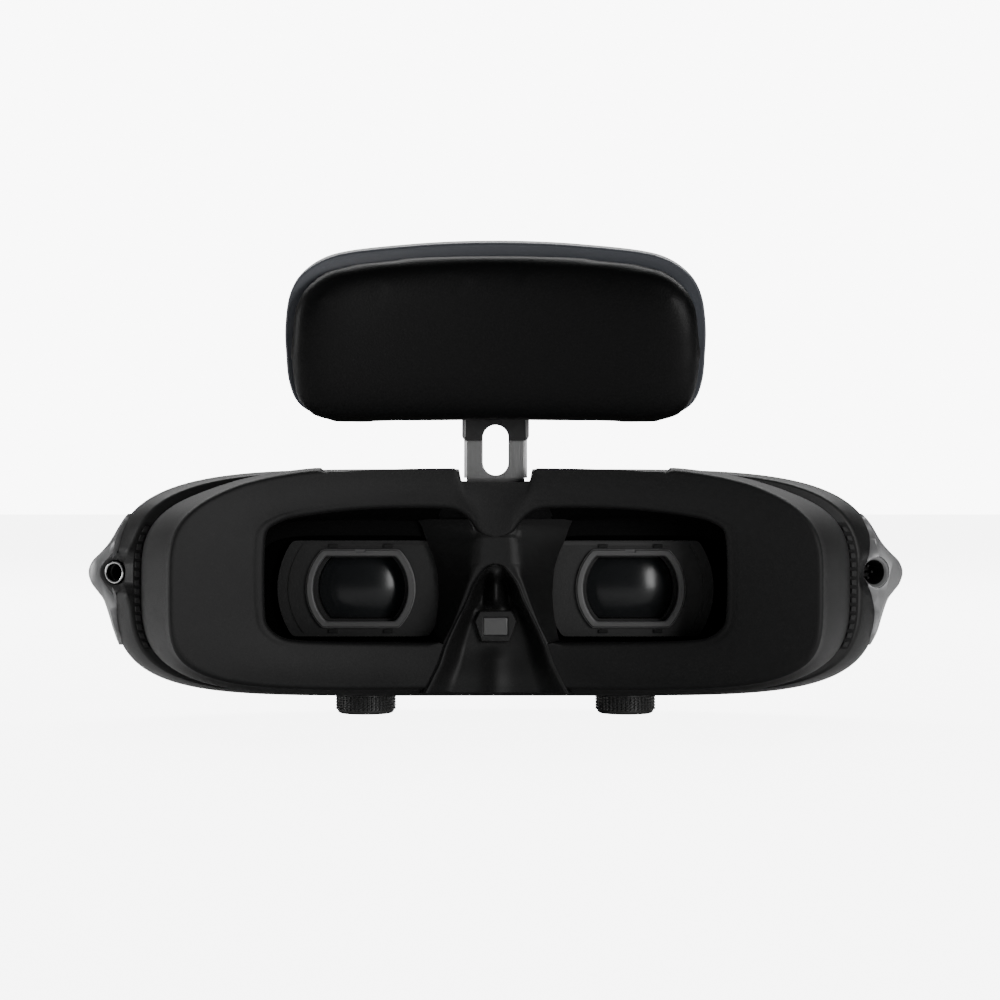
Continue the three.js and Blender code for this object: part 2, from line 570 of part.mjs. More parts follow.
// ---------- eyepieces ----------
function optics(side, name) {
  const here = (made) => onSide(side, made);
  const { x, z } = EYE;
  const ring = cut(
    prism(flatCircle(RING.out), RING.y, RING.y + RING.thick),
    prism(flatCircle(RING.in), RING.y - 1, RING.y + 3),
  );
  add("eyepiece_ring_" + name, here(ring), RING_GREY);

  const rackHigh = EYE.z - BARREL.out[1];
  const pitchR = (DRIVE.module * DRIVE.teeth) / 2;
  const rackX = x + pitchR;
  const tube = cut(
    prism(flatCircle(BARREL.out), BARREL.y, BARREL.end),
    prism(flatCircle(BARREL.in), BARREL.y - 1, BARREL.end + 1),
  );
  const arm = box(rackX + 0.6, rackX + 2.6, 5, BARREL.end, DRIVE.low, rackHigh + 1.4);
  const rackBar = box(rackX + 0.6, rackX + 2.6, 6, 21.2, DRIVE.low, DRIVE.high);
  const pitch = Math.PI * DRIVE.module;
  const teeth = Array.from({ length: 6 }, (_, i) => {
    const y = DRIVE.y + (i - 2.5) * pitch;
    const tooth = new THREE.Shape(
      [
        new THREE.Vector2(0.8, -0.42), new THREE.Vector2(0.8, 0.42), new THREE.Vector2(-0.42, 0.12),
        new THREE.Vector2(-0.42, -0.12),
      ],
    );
    const made = new THREE.ExtrudeGeometry(tooth, { depth: DRIVE.high - DRIVE.low, bevelEnabled: false });
    return solid(made.translate(rackX, y, DRIVE.low));
  });
  add("lens_barrel_" + name, here(join(tube, arm, rackBar, ...teeth)), BLACK);

  // Eyepiece lens, thick in the middle, and a smaller field lens before the display.
  const lens = (y, r, h, thick, crown) => {
    const arc = Array.from(
      { length: 4 },
      (_, i) => new THREE.Vector2((r * i) / 3, -thick / 2 - crown * (1 - (i / 3) ** 2)),
    );
    const profile = [...arc, ...arc.toReversed().map((p) => new THREE.Vector2(p.x, -p.y))];
    const disc = solid(new THREE.LatheGeometry(profile, 16).translate(x, 0, 0));
    return disc.intersect(box(x - r, x + r, -9, 9, -h, h)).translate([0, y, z]);
  };
  add("eyepiece_lens_" + name, here(lens(-0.4, BARREL.in[0] - GAP, BARREL.in[1] - GAP, 2, 1.3)), GLASS);
  add("field_lens_" + name, here(lens(6.4, BARREL.in[0] - GAP, BARREL.in[1] - GAP, 1.6, 0.9)), GLASS);

  // The carriage runs on two rods and carries the barrel, the display and the knob's bearing.
  const [inner, outer] = [x - SHUTTER.inner, x + SHUTTER.outer];
  const leaf = flatRound((inner + outer) / 2, z, (outer - inner) / 2, SHUTTER.height, 3);
  const shutter = prism(leaf, SHUTTER.y, SHUTTER.y + SHUTTER.thick);
  const plate = prism(flatCircle([PLATE.half, PLATE.height]), PLATE.y, SHUTTER.y + 0.5);
  const arms = [-1, 1].map((up) => {
    const zr = z + up * ROD.above;
    const [low, high] = up > 0 ? [z + 12, zr + 3.2] : [zr - 3.2, z - 12];
    return box(x - 9, x + 5, SHUTTER.y + 0.5, ROD.y + 3.2, low, high);
  });
  const shelf = join(
    box(x - 9, x - 5.2, ROD.y, DRIVE.y + 2.6, 9.4, 13),
    box(x - 9, x + 4.6, DRIVE.y - 3.4, DRIVE.y + 2.6, 9.4, 11.4),
  );
  const throat = prism(flatCircle([BARREL.out[0] + GAP, BARREL.out[1] + GAP]), -20, 20);
  const rods = [-1, 1].map((up) => rod("x", ROD.r + 0.25, 80, [x, ROD.y, z + up * ROD.above]));
  const shaftHole = rod("z", DRIVE.shaftR + 0.25, 12, [x, DRIVE.y, 10]);
  const rackWay = box(rackX - 1.4, rackX + 3.4, -1, 30, DRIVE.low - 0.6, rackHigh);
  add(
    "optics_carriage_" + name,
    here(cut(join(shutter, plate, ...arms, shelf), throat, ...rods, shaftHole, rackWay)),
    BLACK,
  );

  const holderY = BARREL.end + 3;
  const uprights = box(x - 14, x + 14, holderY, holderY + 5, z - 10.4, z + 10.4);
  const holder = cut(
    uprights,
    box(x - 10.6, x + 10.6, holderY - 1, holderY + 2.4, z - 8, z + 8),
    box(x - 12.2, x + 12.2, holderY + 2.1, holderY + 6, z - 9, z + 9),
  );
  add("display_holder_" + name, here(holder), BLACK);
  add(
    "display_panel_" + name,
    here(box(x - 10, x + 10, holderY + 2.4, holderY + 3.6, z - 7.6, z + 7.6)),
    GLASS,
  );
  add(
    "display_board_" + name,
    here(box(x - 11.8, x + 11.8, holderY + 3.9, holderY + 4.8, z - 8.7, z + 8.7)),
    BOARD,
  );
  const fins = Array.from(
    { length: 7 },
    (_, i) => box(x - 11 + i * 3.5, x - 10 + i * 3.5, holderY + 6.2, holderY + 9, z - 9, z + 9),
  );
  const sink = join(box(x - 12, x + 12, holderY + 5.2, holderY + 6.4, z - 9.6, z + 9.6), ...fins);
  add("heat_sink_" + name, here(sink), GREY);

  knob(side, name, pitchR);
}

// Focus knob: knurled grip below the housing. Its shaft drives the rack on the barrel through a pinion.
function knob(side, name, pitchR) {
  const x = EYE.x;
  const grooves = 24;
  const corners = Array.from({ length: 2 * grooves }, (_, i) => {
    const r = DRIVE.knobR - (i % 2 ? 0.6 : 0);
    return new THREE.Vector2(
      x + r * Math.cos((i / grooves) * Math.PI),
      DRIVE.y + r * Math.sin((i / grooves) * Math.PI),
    );
  });
  const edge = new THREE.Shape(corners);
  const rim = solid(
    new THREE.ExtrudeGeometry(edge, { depth: 3.6, bevelEnabled: false }),
  ).translate([0, 0, 0.8]);
  const grip = join(rim, rod("z", DRIVE.knobR - 0.9, 5, [x, DRIVE.y, 2.5], 24));
  const collar = rod("z", 2.6, 0.3, [x, DRIVE.y, 5.1]);
  const bore = rod("z", DRIVE.shaftR + 0.1, 4, [x, DRIVE.y, 3.2 + 2]);
  add("focus_knob_" + name, onSide(side, cut(join(grip, collar), bore)), BLACK);
  add("focus_shaft_" + name, onSide(side, rod("z", DRIVE.shaftR, 16.6, [x, DRIVE.y, 3.5 + 8.3])), STEEL);
  const outer = pitchR + 0.42;
  const inner = pitchR - 0.7;
  const shape = new THREE.Shape();
  for (let i = 0; i < DRIVE.teeth; i++) {
    const t = (i / DRIVE.teeth) * 2 * Math.PI;
    const step = (2 * Math.PI) / DRIVE.teeth;
    for (const [r, share] of [[inner, -0.3], [outer, -0.07], [outer, 0.07], [inner, 0.3]]) {
      const a = t + share * step;
      const point = [r * Math.cos(a), r * Math.sin(a)];
      if (i === 0 && share === -0.3) shape.moveTo(...point);
      else shape.lineTo(...point);
    }
  }
  const gear = new THREE.ExtrudeGeometry(shape, { depth: DRIVE.high - DRIVE.low - 0.4, bevelEnabled: false });
  const pinion = cut(
    solid(gear).translate([x, DRIVE.y, DRIVE.low + 0.2]),
    rod("z", DRIVE.shaftR + 0.1, 8, [x, DRIVE.y, 18]),
  );
  add("focus_pinion_" + name, onSide(side, pinion), STEEL);
}

function frameInside() {
  for (const [up, name] of [[1, "upper"], [-1, "lower"]])
    add("guide_rod_" + name, rod("x", ROD.r, 2 * ROD.half, [0, ROD.y, EYE.z + up * ROD.above]), STEEL);
  const board = box(-48, 48, 24.4, 25.4, 20, 49);
  add("main_board", board, BOARD);
  add("processor_can", box(-11, 11, 25.7, 27.8, 24, 42), STEEL);
  screwPlaces().forEach(([x, z], i) => {
    const made = join(
      rod("y", 2.3, 1.4, [x, REAR_Y + 0.2, z], 12), rod("y", 1.1, 11, [x, REAR_Y + 5.6, z], 10),
    );
    add("housing_screw_" + (i + 1), made, STEEL);
  });
}

// ---------- forehead rest ----------
// Slotted plate of the bracket: [x, z] outline with a long round-ended slot.
function slotted(half, low, high, slotLow, slotHigh) {
  const shape = new THREE.Shape(
    [
      new THREE.Vector2(-half, low), new THREE.Vector2(half, low), new THREE.Vector2(half, high),
      new THREE.Vector2(-half, high),
    ],
  );
  const hole = new THREE.Path();
  hole.absarc(0, slotHigh, BRACKET.slot, 0, Math.PI, false);
  hole.absarc(0, slotLow, BRACKET.slot, Math.PI, 2 * Math.PI, false);
  shape.holes.push(hole);
  return shape;
}

function bracket() {
  const { half, thick, y, foot, top } = BRACKET;
  const back = new THREE.ExtrudeGeometry(
    slotted(half, foot, top, BRACKET.slotLow, BRACKET.slotHigh),
    { depth: thick, bevelEnabled: false, curveSegments: 10 },
  );
  const plate = solid(back.rotateX(Math.PI / 2)).translate([0, y + thick, 0]);
  const floor = box(-half, half, y, 5.2, foot, foot + thick);
  const holes = [-1, 1].map((side) => rod("z", 1.35, 4, [side * 4.6, 1, foot]));
  add("bracket", cut(join(plate, floor), ...holes), STEEL);
  for (const [side, name] of [[-1, "left"], [1, "right"]]) {
    const head = rod("z", 2.1, 1, [side * 4.6, 1, foot + thick + GAP + 0.5], 12);
    const made = join(head, rod("z", 1.05, 3.6, [side * 4.6, 1, foot + 0.2], 10));
    add("bracket_screw_" + name, made, STEEL);
  }
}

// The slider runs up and down the plate, is clamped through its slot, and ends in the pad's hinge.
function slider() {
  const { y } = BRACKET;
  const { half, low, high, thick, notch } = SLIDER;
  const face = y - GAP;
  const edges = [-1, 1].map(
    (side) => onSide(side, box(half - 0.7, half, face - 1, y + BRACKET.thick, low + 1.2, high - 4)),
  );
  const arch = join(
    rod("y", BRACKET.slot, 9, [0, face, notch], 24),
    box(-BRACKET.slot, BRACKET.slot, face - 4, face + 2, low - 4, notch),
  );
  const plate = cut(join(box(-half, half, face - thick, face, low, high), ...edges), arch);
  const knuckle = join(
    rod("x", 2.6, 2 * (half - 1), [0, PIN.y, PIN.z], 20),
    box(-half + 1, half - 1, PIN.y, face - 0.5, PIN.z - 2.6, PIN.z + 2.6),
  );
  const boss = rod("y", 2.5, 3.4, [0, face + 1, 80], 16);
  const bore = rod("x", PIN.r + 0.15, 40, [0, PIN.y, PIN.z], 16);
  const screwHole = rod("y", 1.3, 7, [0, face + 1.4, 80], 12);
  add("pad_slider", cut(join(plate, knuckle, boss), bore, screwHole), BLACK);
  const clamp = join(
    rod("y", 4.6, 1.4, [0, y + BRACKET.thick + 1.9, 80], 20),
    rod("y", 1.1, 4.6, [0, y + BRACKET.thick - 0.4, 80], 12),
  );
  add("clamp_screw", clamp, STEEL);
  add("hinge_pin", rod("x", PIN.r, 2 * PIN.half, [0, PIN.y, PIN.z]), STEEL);
}

// Pad pieces are shaped upright about the pad's middle, then tilted to the slope of a forehead.
function forehead() {
  const shape = { half: PAD.half, mid: 0, top: PAD.up, bottom: -PAD.down, up: [3.6, 3.6], down: [5.2, 5.2] };
  const sweep = (x) => -(x * x) / 320;
  const layer = (grow, w) => outline(shape, grow, 28).map((p) => new THREE.Vector3(p.x, w + sweep(p.x), p.y));
  const tilted = (made) => solid(geometryOf(made).rotateX(PAD.tilt).translate(0, PAD.y, PAD.z));
  const shell = (grow, back) => loft(
    [
      layer(grow, back ? -1 : 0.4), layer(grow, 3.5), layer(grow - 1.6, PAD.shell * 0.75),
      layer(grow - 5, PAD.shell), layer(grow - 12, PAD.shell + 0.6),
    ],
  );
  const cup = cut(shell(0, false), shell(-1.8, true).translate([0, -1.6, 0]));
  const untilt = new THREE.Matrix4().makeRotationX(-PAD.tilt);
  const pin = new THREE.Vector3(0, PIN.y - PAD.y, PIN.z - PAD.z).applyMatrix4(untilt);
  const window = box(-SLIDER.half - 1.6, SLIDER.half + 1.6, 0.2, 20, -PAD.down - 4, pin.z + 8);
  const ears = [-1, 1].map(
    (side) => onSide(side, box(8.6, 11.4, -0.6, PAD.shell - 0.4, pin.z - 3.4, pin.z + 3.4)),
  );
  const pinHole = rod("x", PIN.r + 0.15, 60, [0, pin.y, pin.z], 16);
  const base = outline(shape, -0.9, 28).map((p) => new THREE.Vector3(p.x, -0.5 + sweep(p.x), p.y));
  const floor = loft([base, base.map((p) => p.clone().add(new THREE.Vector3(0, 1.6, 0)))]);
  add(
    "pad_shell",
    tilted(
      cut(join(cut(cup, window), ears[0], ears[1], cut(floor, box(-3, 3, -9, 9, -3, 3))), pinHole),
    ),
    SHELL_GREY,
  );
  const soft = { ...shape, half: PAD.half - 0.9, top: PAD.up - 1.5, bottom: -PAD.down + 0.3 };
  const cushionRing = (grow, w) => outline(soft, grow, 28).map(
    (p) => new THREE.Vector3(p.x, w + sweep(p.x), p.y),
  );
  const { soft: deep } = PAD;
  const cushion = loft(
    [
      cushionRing(-0.8, -0.9), cushionRing(0, -3), cushionRing(0, -deep * 0.55),
      cushionRing(-2, -deep * 0.85), cushionRing(-6, -deep), cushionRing(-14, -deep - 0.8),
    ],
  );
  add("forehead_cushion", tilted(cushion), PADDING);
}

housing();
frontCover();
lugs();
sockets();
vents();
faceShield();
sensor();
optics(-1, "left");
optics(1, "right");
frameInside();
bracket();
slider();
forehead();

export default root;
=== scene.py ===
# Head-worn video goggles: the fine meshes, materials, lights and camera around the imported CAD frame.
# Sizes below are in millimetres in the CAD frame: +X is the wearer's right, +Y the way the wearer looks.
import json
import math

import bmesh
import bpy
import numpy as np
from mathutils import Matrix, Vector
from mathutils.geometry import tessellate_polygon


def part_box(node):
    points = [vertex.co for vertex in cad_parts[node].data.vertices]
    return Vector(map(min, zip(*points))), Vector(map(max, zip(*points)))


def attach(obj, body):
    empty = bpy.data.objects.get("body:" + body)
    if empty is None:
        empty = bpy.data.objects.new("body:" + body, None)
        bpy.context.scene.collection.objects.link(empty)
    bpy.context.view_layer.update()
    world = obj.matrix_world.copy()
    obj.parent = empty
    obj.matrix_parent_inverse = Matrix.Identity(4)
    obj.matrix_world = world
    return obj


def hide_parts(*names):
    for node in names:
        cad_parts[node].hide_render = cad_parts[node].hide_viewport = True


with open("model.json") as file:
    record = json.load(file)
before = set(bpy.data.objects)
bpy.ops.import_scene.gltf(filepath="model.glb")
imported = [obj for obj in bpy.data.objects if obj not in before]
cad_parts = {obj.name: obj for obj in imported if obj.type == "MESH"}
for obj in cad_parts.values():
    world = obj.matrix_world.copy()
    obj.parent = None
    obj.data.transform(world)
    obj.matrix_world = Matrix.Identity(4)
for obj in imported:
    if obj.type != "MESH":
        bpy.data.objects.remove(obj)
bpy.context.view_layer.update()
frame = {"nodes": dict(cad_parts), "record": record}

MM = 0.001


def mm_box(node):
    """Lowest and highest corner of a CAD node, in millimetres."""
    low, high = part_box(node)
    return np.array(low) / MM, np.array(high) / MM


# ---------- shared dimensions ----------
FINE = 300  # points round a fine outline
REAR_Y, SPLIT_Y = -7.0, 6.0
FRONT_Y = mm_box("visor_panel")[1][1] - 0.2
SWEEP, FLAT, ROUND = 190.0, 6.0, 0.4
HOUSING = dict(half=92.6, mid=32.6, top=60.0, bottom=5.2, up=(5.25, 3.0), down=(6.25, 3.25))
VISOR = dict(half=76.0, mid=33.0, top=51.5, bottom=15.0, up=(4.5, 3), down=(4.5, 3))
FACE = dict(half=72.8, mid=34.6, top=59.9, bottom=9.4, up=(3.1, 3.2), down=(4.3, 5.5))
SKIRT = dict(half=83.9, mid=33.0, top=59.2, bottom=7.2, up=(3.6, 3.4), down=(6, 3.6))
SKIRT_Y = -7.6
FACE_Y, FACE_R = -18.0, 154.0
EYE_X, EYE_Z = 32.0, 31.5
SOCKET = dict(x=91.0, y=-1.5, z=35.2, tilt=math.radians(25))
GROOVE = dict(half=8.7, floor=57.0)  # channel along the top in which the bracket's foot lies


# ---------- small tools ----------
def smoothstep(low, high, value):
    t = np.clip((value - low) / (high - low), 0, 1)
    return t * t * (3 - 2 * t)


def lengths(path):
    """Distance along a path at each of its points."""
    return np.concatenate([[0], np.cumsum(np.linalg.norm(np.diff(path, axis=0), axis=1))])


def points_at(path, want):
    """Points of a path at some distances along it."""
    along = lengths(path)
    return np.column_stack([np.interp(want, along, column) for column in path.T])


def resample(points, count, closed=True):
    """Evenly spaced points along a polyline."""
    path = np.vstack([points, points[:1]]) if closed else np.asarray(points)
    return points_at(path, np.linspace(0, lengths(path)[-1], count, endpoint=not closed))


def outline(shape, grow=0.0, count=FINE):
    """[x, z] points round a rounded outline, starting under the middle."""
    t = np.linspace(-math.pi / 2, 1.5 * math.pi, 2401)[:-1]
    c, s = np.cos(t), np.sin(t)
    p = np.where(s > 0, shape["up"][0], shape["down"][0])
    q = np.where(s > 0, shape["up"][1], shape["down"][1])
    reach = np.where(s > 0, shape["top"] - shape["mid"], shape["mid"] - shape["bottom"]) + grow
    x = (shape["half"] + grow) * np.sign(c) * np.abs(c) ** (2 / p)
    z = shape["mid"] + reach * np.sign(s) * np.abs(s) ** (2 / q)
    return resample(np.column_stack([x, z]), count)


def smooth_path(points, count, closed=False):
    """A Catmull-Rom curve through a few points."""
    pts = np.asarray(points, float)
    if closed:
        ext = np.vstack([pts[-1:], pts, pts[:2]])
    else:
        ext = np.vstack([2 * pts[0] - pts[1], pts, 2 * pts[-1] - pts[-2]])
    spans = len(pts) if closed else len(pts) - 1
    out = []
    for i in range(spans):
        p0, p1, p2, p3 = ext[i : i + 4]
        for t in np.linspace(0, 1, 24, endpoint=False):
            second = (2 * p0 - 5 * p1 + 4 * p2 - p3) * t**2
            third = (3 * p1 - p0 - 3 * p2 + p3) * t**3
            out.append(0.5 * (2 * p1 + (p2 - p0) * t + second + third))
    if not closed:
        out.append(pts[-1])
    return resample(np.array(out), count, closed)


def unit(rows):
    """Each row of vectors scaled to length 1."""
    return rows / np.maximum(np.linalg.norm(rows, axis=1), 1e-9)[:, None]


def across(steps):
    """Unit vectors square to a path's steps."""
    return unit(np.column_stack([steps[:, 1], -steps[:, 0]]))


def softened(loop, times):
    """Rounds off the corners of a closed outline."""
    for _ in range(times):
        loop = (np.roll(loop, 1, 0) + 2 * loop + np.roll(loop, -1, 0)) / 4
    return loop


def show(obj):
    bpy.context.scene.collection.objects.link(obj)
    return obj


def link(name, verts, faces, material, sharp=35.0):
    mesh = bpy.data.meshes.new(name)
    mesh.from_pydata((np.asarray(verts, float) * MM).tolist(), [], faces)
    bm = bmesh.new()
    bm.from_mesh(mesh)
    bmesh.ops.remove_doubles(bm, verts=bm.verts, dist=1e-6)
    bmesh.ops.recalc_face_normals(bm, faces=bm.faces)
    bm.to_mesh(mesh)
    bm.free()
    mesh.materials.append(material)
    mesh.shade_smooth()
    mesh.set_sharp_from_angle(angle=math.radians(sharp))
    return show(bpy.data.objects.new(name, mesh))


def grid(rows, closed=True, cap_first=False, cap_last=False):
    """Vertices and faces of a loft through rows of points."""
    rows = [np.asarray(r, float) for r in rows]
    n = len(rows[0])
    verts = np.vstack(rows)
    faces = []
    for k in range(len(rows) - 1):
        for i in range(n if closed else n - 1):
            j = (i + 1) % n
            faces.append((k * n + i, k * n + j, (k + 1) * n + j, (k + 1) * n + i))
    for wanted, first in ((cap_first, 0), (cap_last, (len(rows) - 1) * n)):
        if wanted == "ladder":
            half = n // 2
            for start in (0, half):
                for k in range(half // 2):
                    a, b = start + k, start + half - k
                    faces.append((first + a, first + a + 1, first + b - 1, first + b % n))
        elif wanted:
            centre = len(verts)
            verts = np.vstack([verts, verts[first : first + n].mean(0)])
            faces += [(first + i, first + (i + 1) % n, centre) for i in range(n)]
    return verts, faces


def loft(name, rows, material, closed=True, caps=(False, False), sharp=35.0):
    verts, faces = grid(rows, closed, *caps)
    return link(name, verts, faces, material, sharp)


def at_y(points, y):
    return np.column_stack([points[:, 0], np.broadcast_to(y, len(points)), points[:, 1]])


def plate(name, outer, holes, y0, y1, material, bevel=0.0):
    """A flat plate from y0 to y1 with holes, its edges bevelled."""
    loops = [np.asarray(outer)] + [np.asarray(h) for h in holes]
    tris = tessellate_polygon([[Vector((x, z, 0)) for x, z in loop] for loop in loops])
    flat = np.vstack(loops)
    n = len(flat)
    verts = np.vstack([at_y(flat, y0), at_y(flat, y1)])
    faces = [tuple(t) for t in tris] + [tuple(i + n for i in reversed(t)) for t in tris]
    start = 0
    for loop in loops:
        m = len(loop)
        for i in range(m):
            a, b = start + i, start + (i + 1) % m
            faces.append((a, b, b + n, a + n))
        start += m
    obj = link(name, verts, faces, material)
    return add_bevel(obj, bevel) if bevel else obj


def add_bevel(obj, width, segments=3, angle=40.0):
    mod = obj.modifiers.new("edge", "BEVEL")
    mod.width = width * MM
    mod.segments = segments
    mod.limit_method = "ANGLE"
    mod.angle_limit = math.radians(angle)
    mod.harden_normals = False
    return apply_modifiers(obj)


def apply_modifiers(obj):
    """Keeps the modified mesh and drops the modifiers."""
    graph = bpy.context.evaluated_depsgraph_get()
    made = bpy.data.meshes.new_from_object(obj.evaluated_get(graph))
    obj.modifiers.clear()
    old = obj.data
    obj.data = made
    bpy.data.meshes.remove(old)
    return obj


def cut(obj, tools):
    """Boolean cut by closed tool objects, which are then removed."""
    for tool in tools:
        mod = obj.modifiers.new("cut", "BOOLEAN")
        mod.operation = "DIFFERENCE"
        mod.solver = "EXACT"
        mod.object = tool
    apply_modifiers(obj)
    for tool in tools:
        bpy.data.objects.remove(tool)
    obj.data.shade_smooth()
    obj.data.set_sharp_from_angle(angle=math.radians(35))
    return obj


BOX_FACES = [(0, 1, 2, 3), (7, 6, 5, 4), (0, 4, 5, 1), (1, 5, 6, 2), (2, 6, 7, 3), (3, 7, 4, 0)]


def box_mesh(name, low, high, material, bevel=0.0):
    low, high = np.minimum(low, high), np.maximum(low, high)
    ring = lambda y: [(low[0], y, low[2]), (high[0], y, low[2]), (high[0], y, high[2]), (low[0], y, high[2])]
    verts = ring(low[1]) + ring(high[1])
    obj = link(name, verts, BOX_FACES, material)
    return add_bevel(obj, bevel) if bevel else obj


def turned(name, profile, centre, direction, material, sides=96, sharp=35.0):
    """A solid of revolution: (distance along, radius) pairs about an axis through centre."""
    axis = np.asarray(direction, float) / np.linalg.norm(direction)
    side = np.cross(axis, (0, 0, 1) if abs(axis[2]) < 0.9 else (1, 0, 0))
    side /= np.linalg.norm(side)
    other = np.cross(axis, side)
    t = np.linspace(0, 2 * math.pi, sides, endpoint=False)
    ring = np.cos(t)[:, None] * side + np.sin(t)[:, None] * other
    rows = [np.asarray(centre) + axis * along + ring * max(r, 1e-3) for along, r in profile]
    return loft(name, rows, material, sharp=sharp)


def arc(cx, cy, r, a0, a1, n=6):
    t = np.radians(np.linspace(a0, a1, n))
    return [(cx + r * math.cos(a), cy + r * math.sin(a)) for a in t]


def both(build):
    """Builds a piece for the left (-1) and the right (+1) side."""
    for side, name in ((-1, "left"), (1, "right")):
        build(side, name)


# ---------- materials ----------
def linear(grey):
    """Scene-linear value of an 8-bit display grey."""
    v = grey / 255
    return v / 12.92 if v <= 0.04045 else ((v + 0.055) / 1.055) ** 2.4


def fill(node, inputs):
    """Sets a node's inputs; an underscore stands for a space in an input's name."""
    for key, value in inputs.items():
        node.inputs[key.replace("_", " ")].default_value = value


class Nodes:
    """A material's node tree, built one node at a time."""

    def __init__(self, name):
        self.material = bpy.data.materials.new(name)
        self.material.use_nodes = True
        self.tree = self.material.node_tree
        self.shader = self.tree.nodes["Principled BSDF"]

    def add(self, kind, **inputs):
        node = self.tree.nodes.new(kind)
        fill(node, inputs)
        return node

    def join(self, output, target):
        self.tree.links.new(output, target)


def mix_colours(n, factor, a, b):
    ramp = n.add("ShaderNodeValToRGB")
    ramp.color_ramp.elements[0].color = (*a, 1)
    ramp.color_ramp.elements[1].color = (*b, 1)
    ramp.color_ramp.elements[0].position = 0.3
    ramp.color_ramp.elements[1].position = 0.7
    n.join(factor, ramp.inputs["Fac"])
    return ramp.outputs["Color"]


def surface(name, colour, rough, metal=0.0, grain=0.0, scale=900.0, wear=0.06, coat=0.0, cells=False,
            stretch=None, specular=0.5):
    """A procedural finish: a slightly uneven colour and roughness, with a fine grain."""
    n = Nodes(name)
    where = n.add("ShaderNodeTexCoord").outputs["Object"]
    if stretch:
        mapping = n.add("ShaderNodeMapping", Scale=stretch)
        n.join(where, mapping.inputs["Vector"])
        where = mapping.outputs["Vector"]
    cloud = n.add("ShaderNodeTexNoise", Scale=38.0, Detail=4.0)
    n.join(where, cloud.inputs["Vector"])
    low = tuple(c * (1 - wear) for c in colour)
    high = tuple(c * (1 + wear) for c in colour)
    n.join(mix_colours(n, cloud.outputs["Fac"], low, high), n.shader.inputs["Base Color"])
    spread = n.add("ShaderNodeMapRange", To_Min=max(rough - 0.05, 0.02), To_Max=min(rough + 0.05, 1.0))
    n.join(cloud.outputs["Fac"], spread.inputs["Value"])
    n.join(spread.outputs["Result"], n.shader.inputs["Roughness"])
    fill(n.shader, dict(Metallic=metal, Specular_IOR_Level=specular, Coat_Weight=coat, Coat_Roughness=0.12))
    if grain:
        if cells:
            fine = n.add("ShaderNodeTexVoronoi", Scale=scale)
            height = fine.outputs["Distance"]
        else:
            fine = n.add("ShaderNodeTexNoise", Scale=scale, Detail=3.0)
            height = fine.outputs["Fac"]
        n.join(where, fine.inputs["Vector"])
        bump = n.add("ShaderNodeBump", Strength=grain, Distance=0.0002)
        n.join(height, bump.inputs["Height"])
        n.join(bump.outputs["Normal"], n.shader.inputs["Normal"])
    return n.material


def grey(level, tint=(1.0, 1.0, 1.0)):
    return tuple(linear(level) * t for t in tint)


def glass(name):
    """Coated lens: dark, and slightly uneven."""
    n = Nodes(name)
    where = n.add("ShaderNodeTexCoord").outputs["Object"]
    cloud = n.add("ShaderNodeTexNoise", Scale=9.0, Detail=1.0)
    n.join(where, cloud.inputs["Vector"])
    tone = mix_colours(n, cloud.outputs["Fac"], (0.012, 0.013, 0.014), (0.017, 0.018, 0.019))
    n.join(tone, n.shader.inputs["Base Color"])
    fill(n.shader, dict(Roughness=0.2, IOR=1.38))
    return n.material


UPRIGHT_GRAIN, LEVEL_GRAIN = (9.0, 9.0, 0.5), (0.5, 9.0, 9.0)  # stretch of a brushed grain
SHELL = surface("soft-touch plastic", grey(15), 0.5, grain=0.25, scale=2600, specular=0.35)
COVER = surface("cover plastic", grey(18), 0.42, grain=0.2, scale=2600)
INSIDE = surface("dark plastic", grey(12), 0.6, grain=0.2, scale=1800)
SHIELD_RUBBER = surface("matt rubber", grey(16, (1, 1, 1.02)), 0.6, grain=0.25, scale=3400, specular=0.35)
# Near-black copy of the shield rubber: painted shade for the deep eye tunnels and the wall behind them.
TUNNEL_PAINTED_SHADE = surface("tunnel rubber painted shade", grey(6), 0.8, grain=0.2, scale=3400, specular=0.1)
BRIDGE_RUBBER = surface("bridge rubber", grey(17), 0.55, grain=0.12, scale=3400, specular=0.35)
PLATE_FACE = surface("eyepiece plate", grey(16), 0.5, grain=0.15, scale=3000)
RING_FACE = surface("eyepiece ring", grey(84), 0.42, metal=0.15, grain=0.06, scale=2400)
TRIM = surface("satin trim", grey(142, (1.0, 1.0, 1.01)), 0.38, metal=0.45, grain=0.12, scale=3000)
GLOSSY = surface("gloss panel", grey(14), 0.06, coat=1.0, wear=0.03)
CHROME = surface("polished steel", grey(210), 0.14, metal=1.0, wear=0.02, grain=0.02, scale=700)
# Near-white copy of the bracket steel: painted highlight on the folded edges.
FOLD_PAINTED_HIGHLIGHT = surface("folded edge painted highlight", grey(246), 0.4, metal=0.1, wear=0.02)
NICKEL = surface("brushed bracket", grey(138), 0.34, metal=0.55, grain=0.18, scale=420, stretch=UPRIGHT_GRAIN)
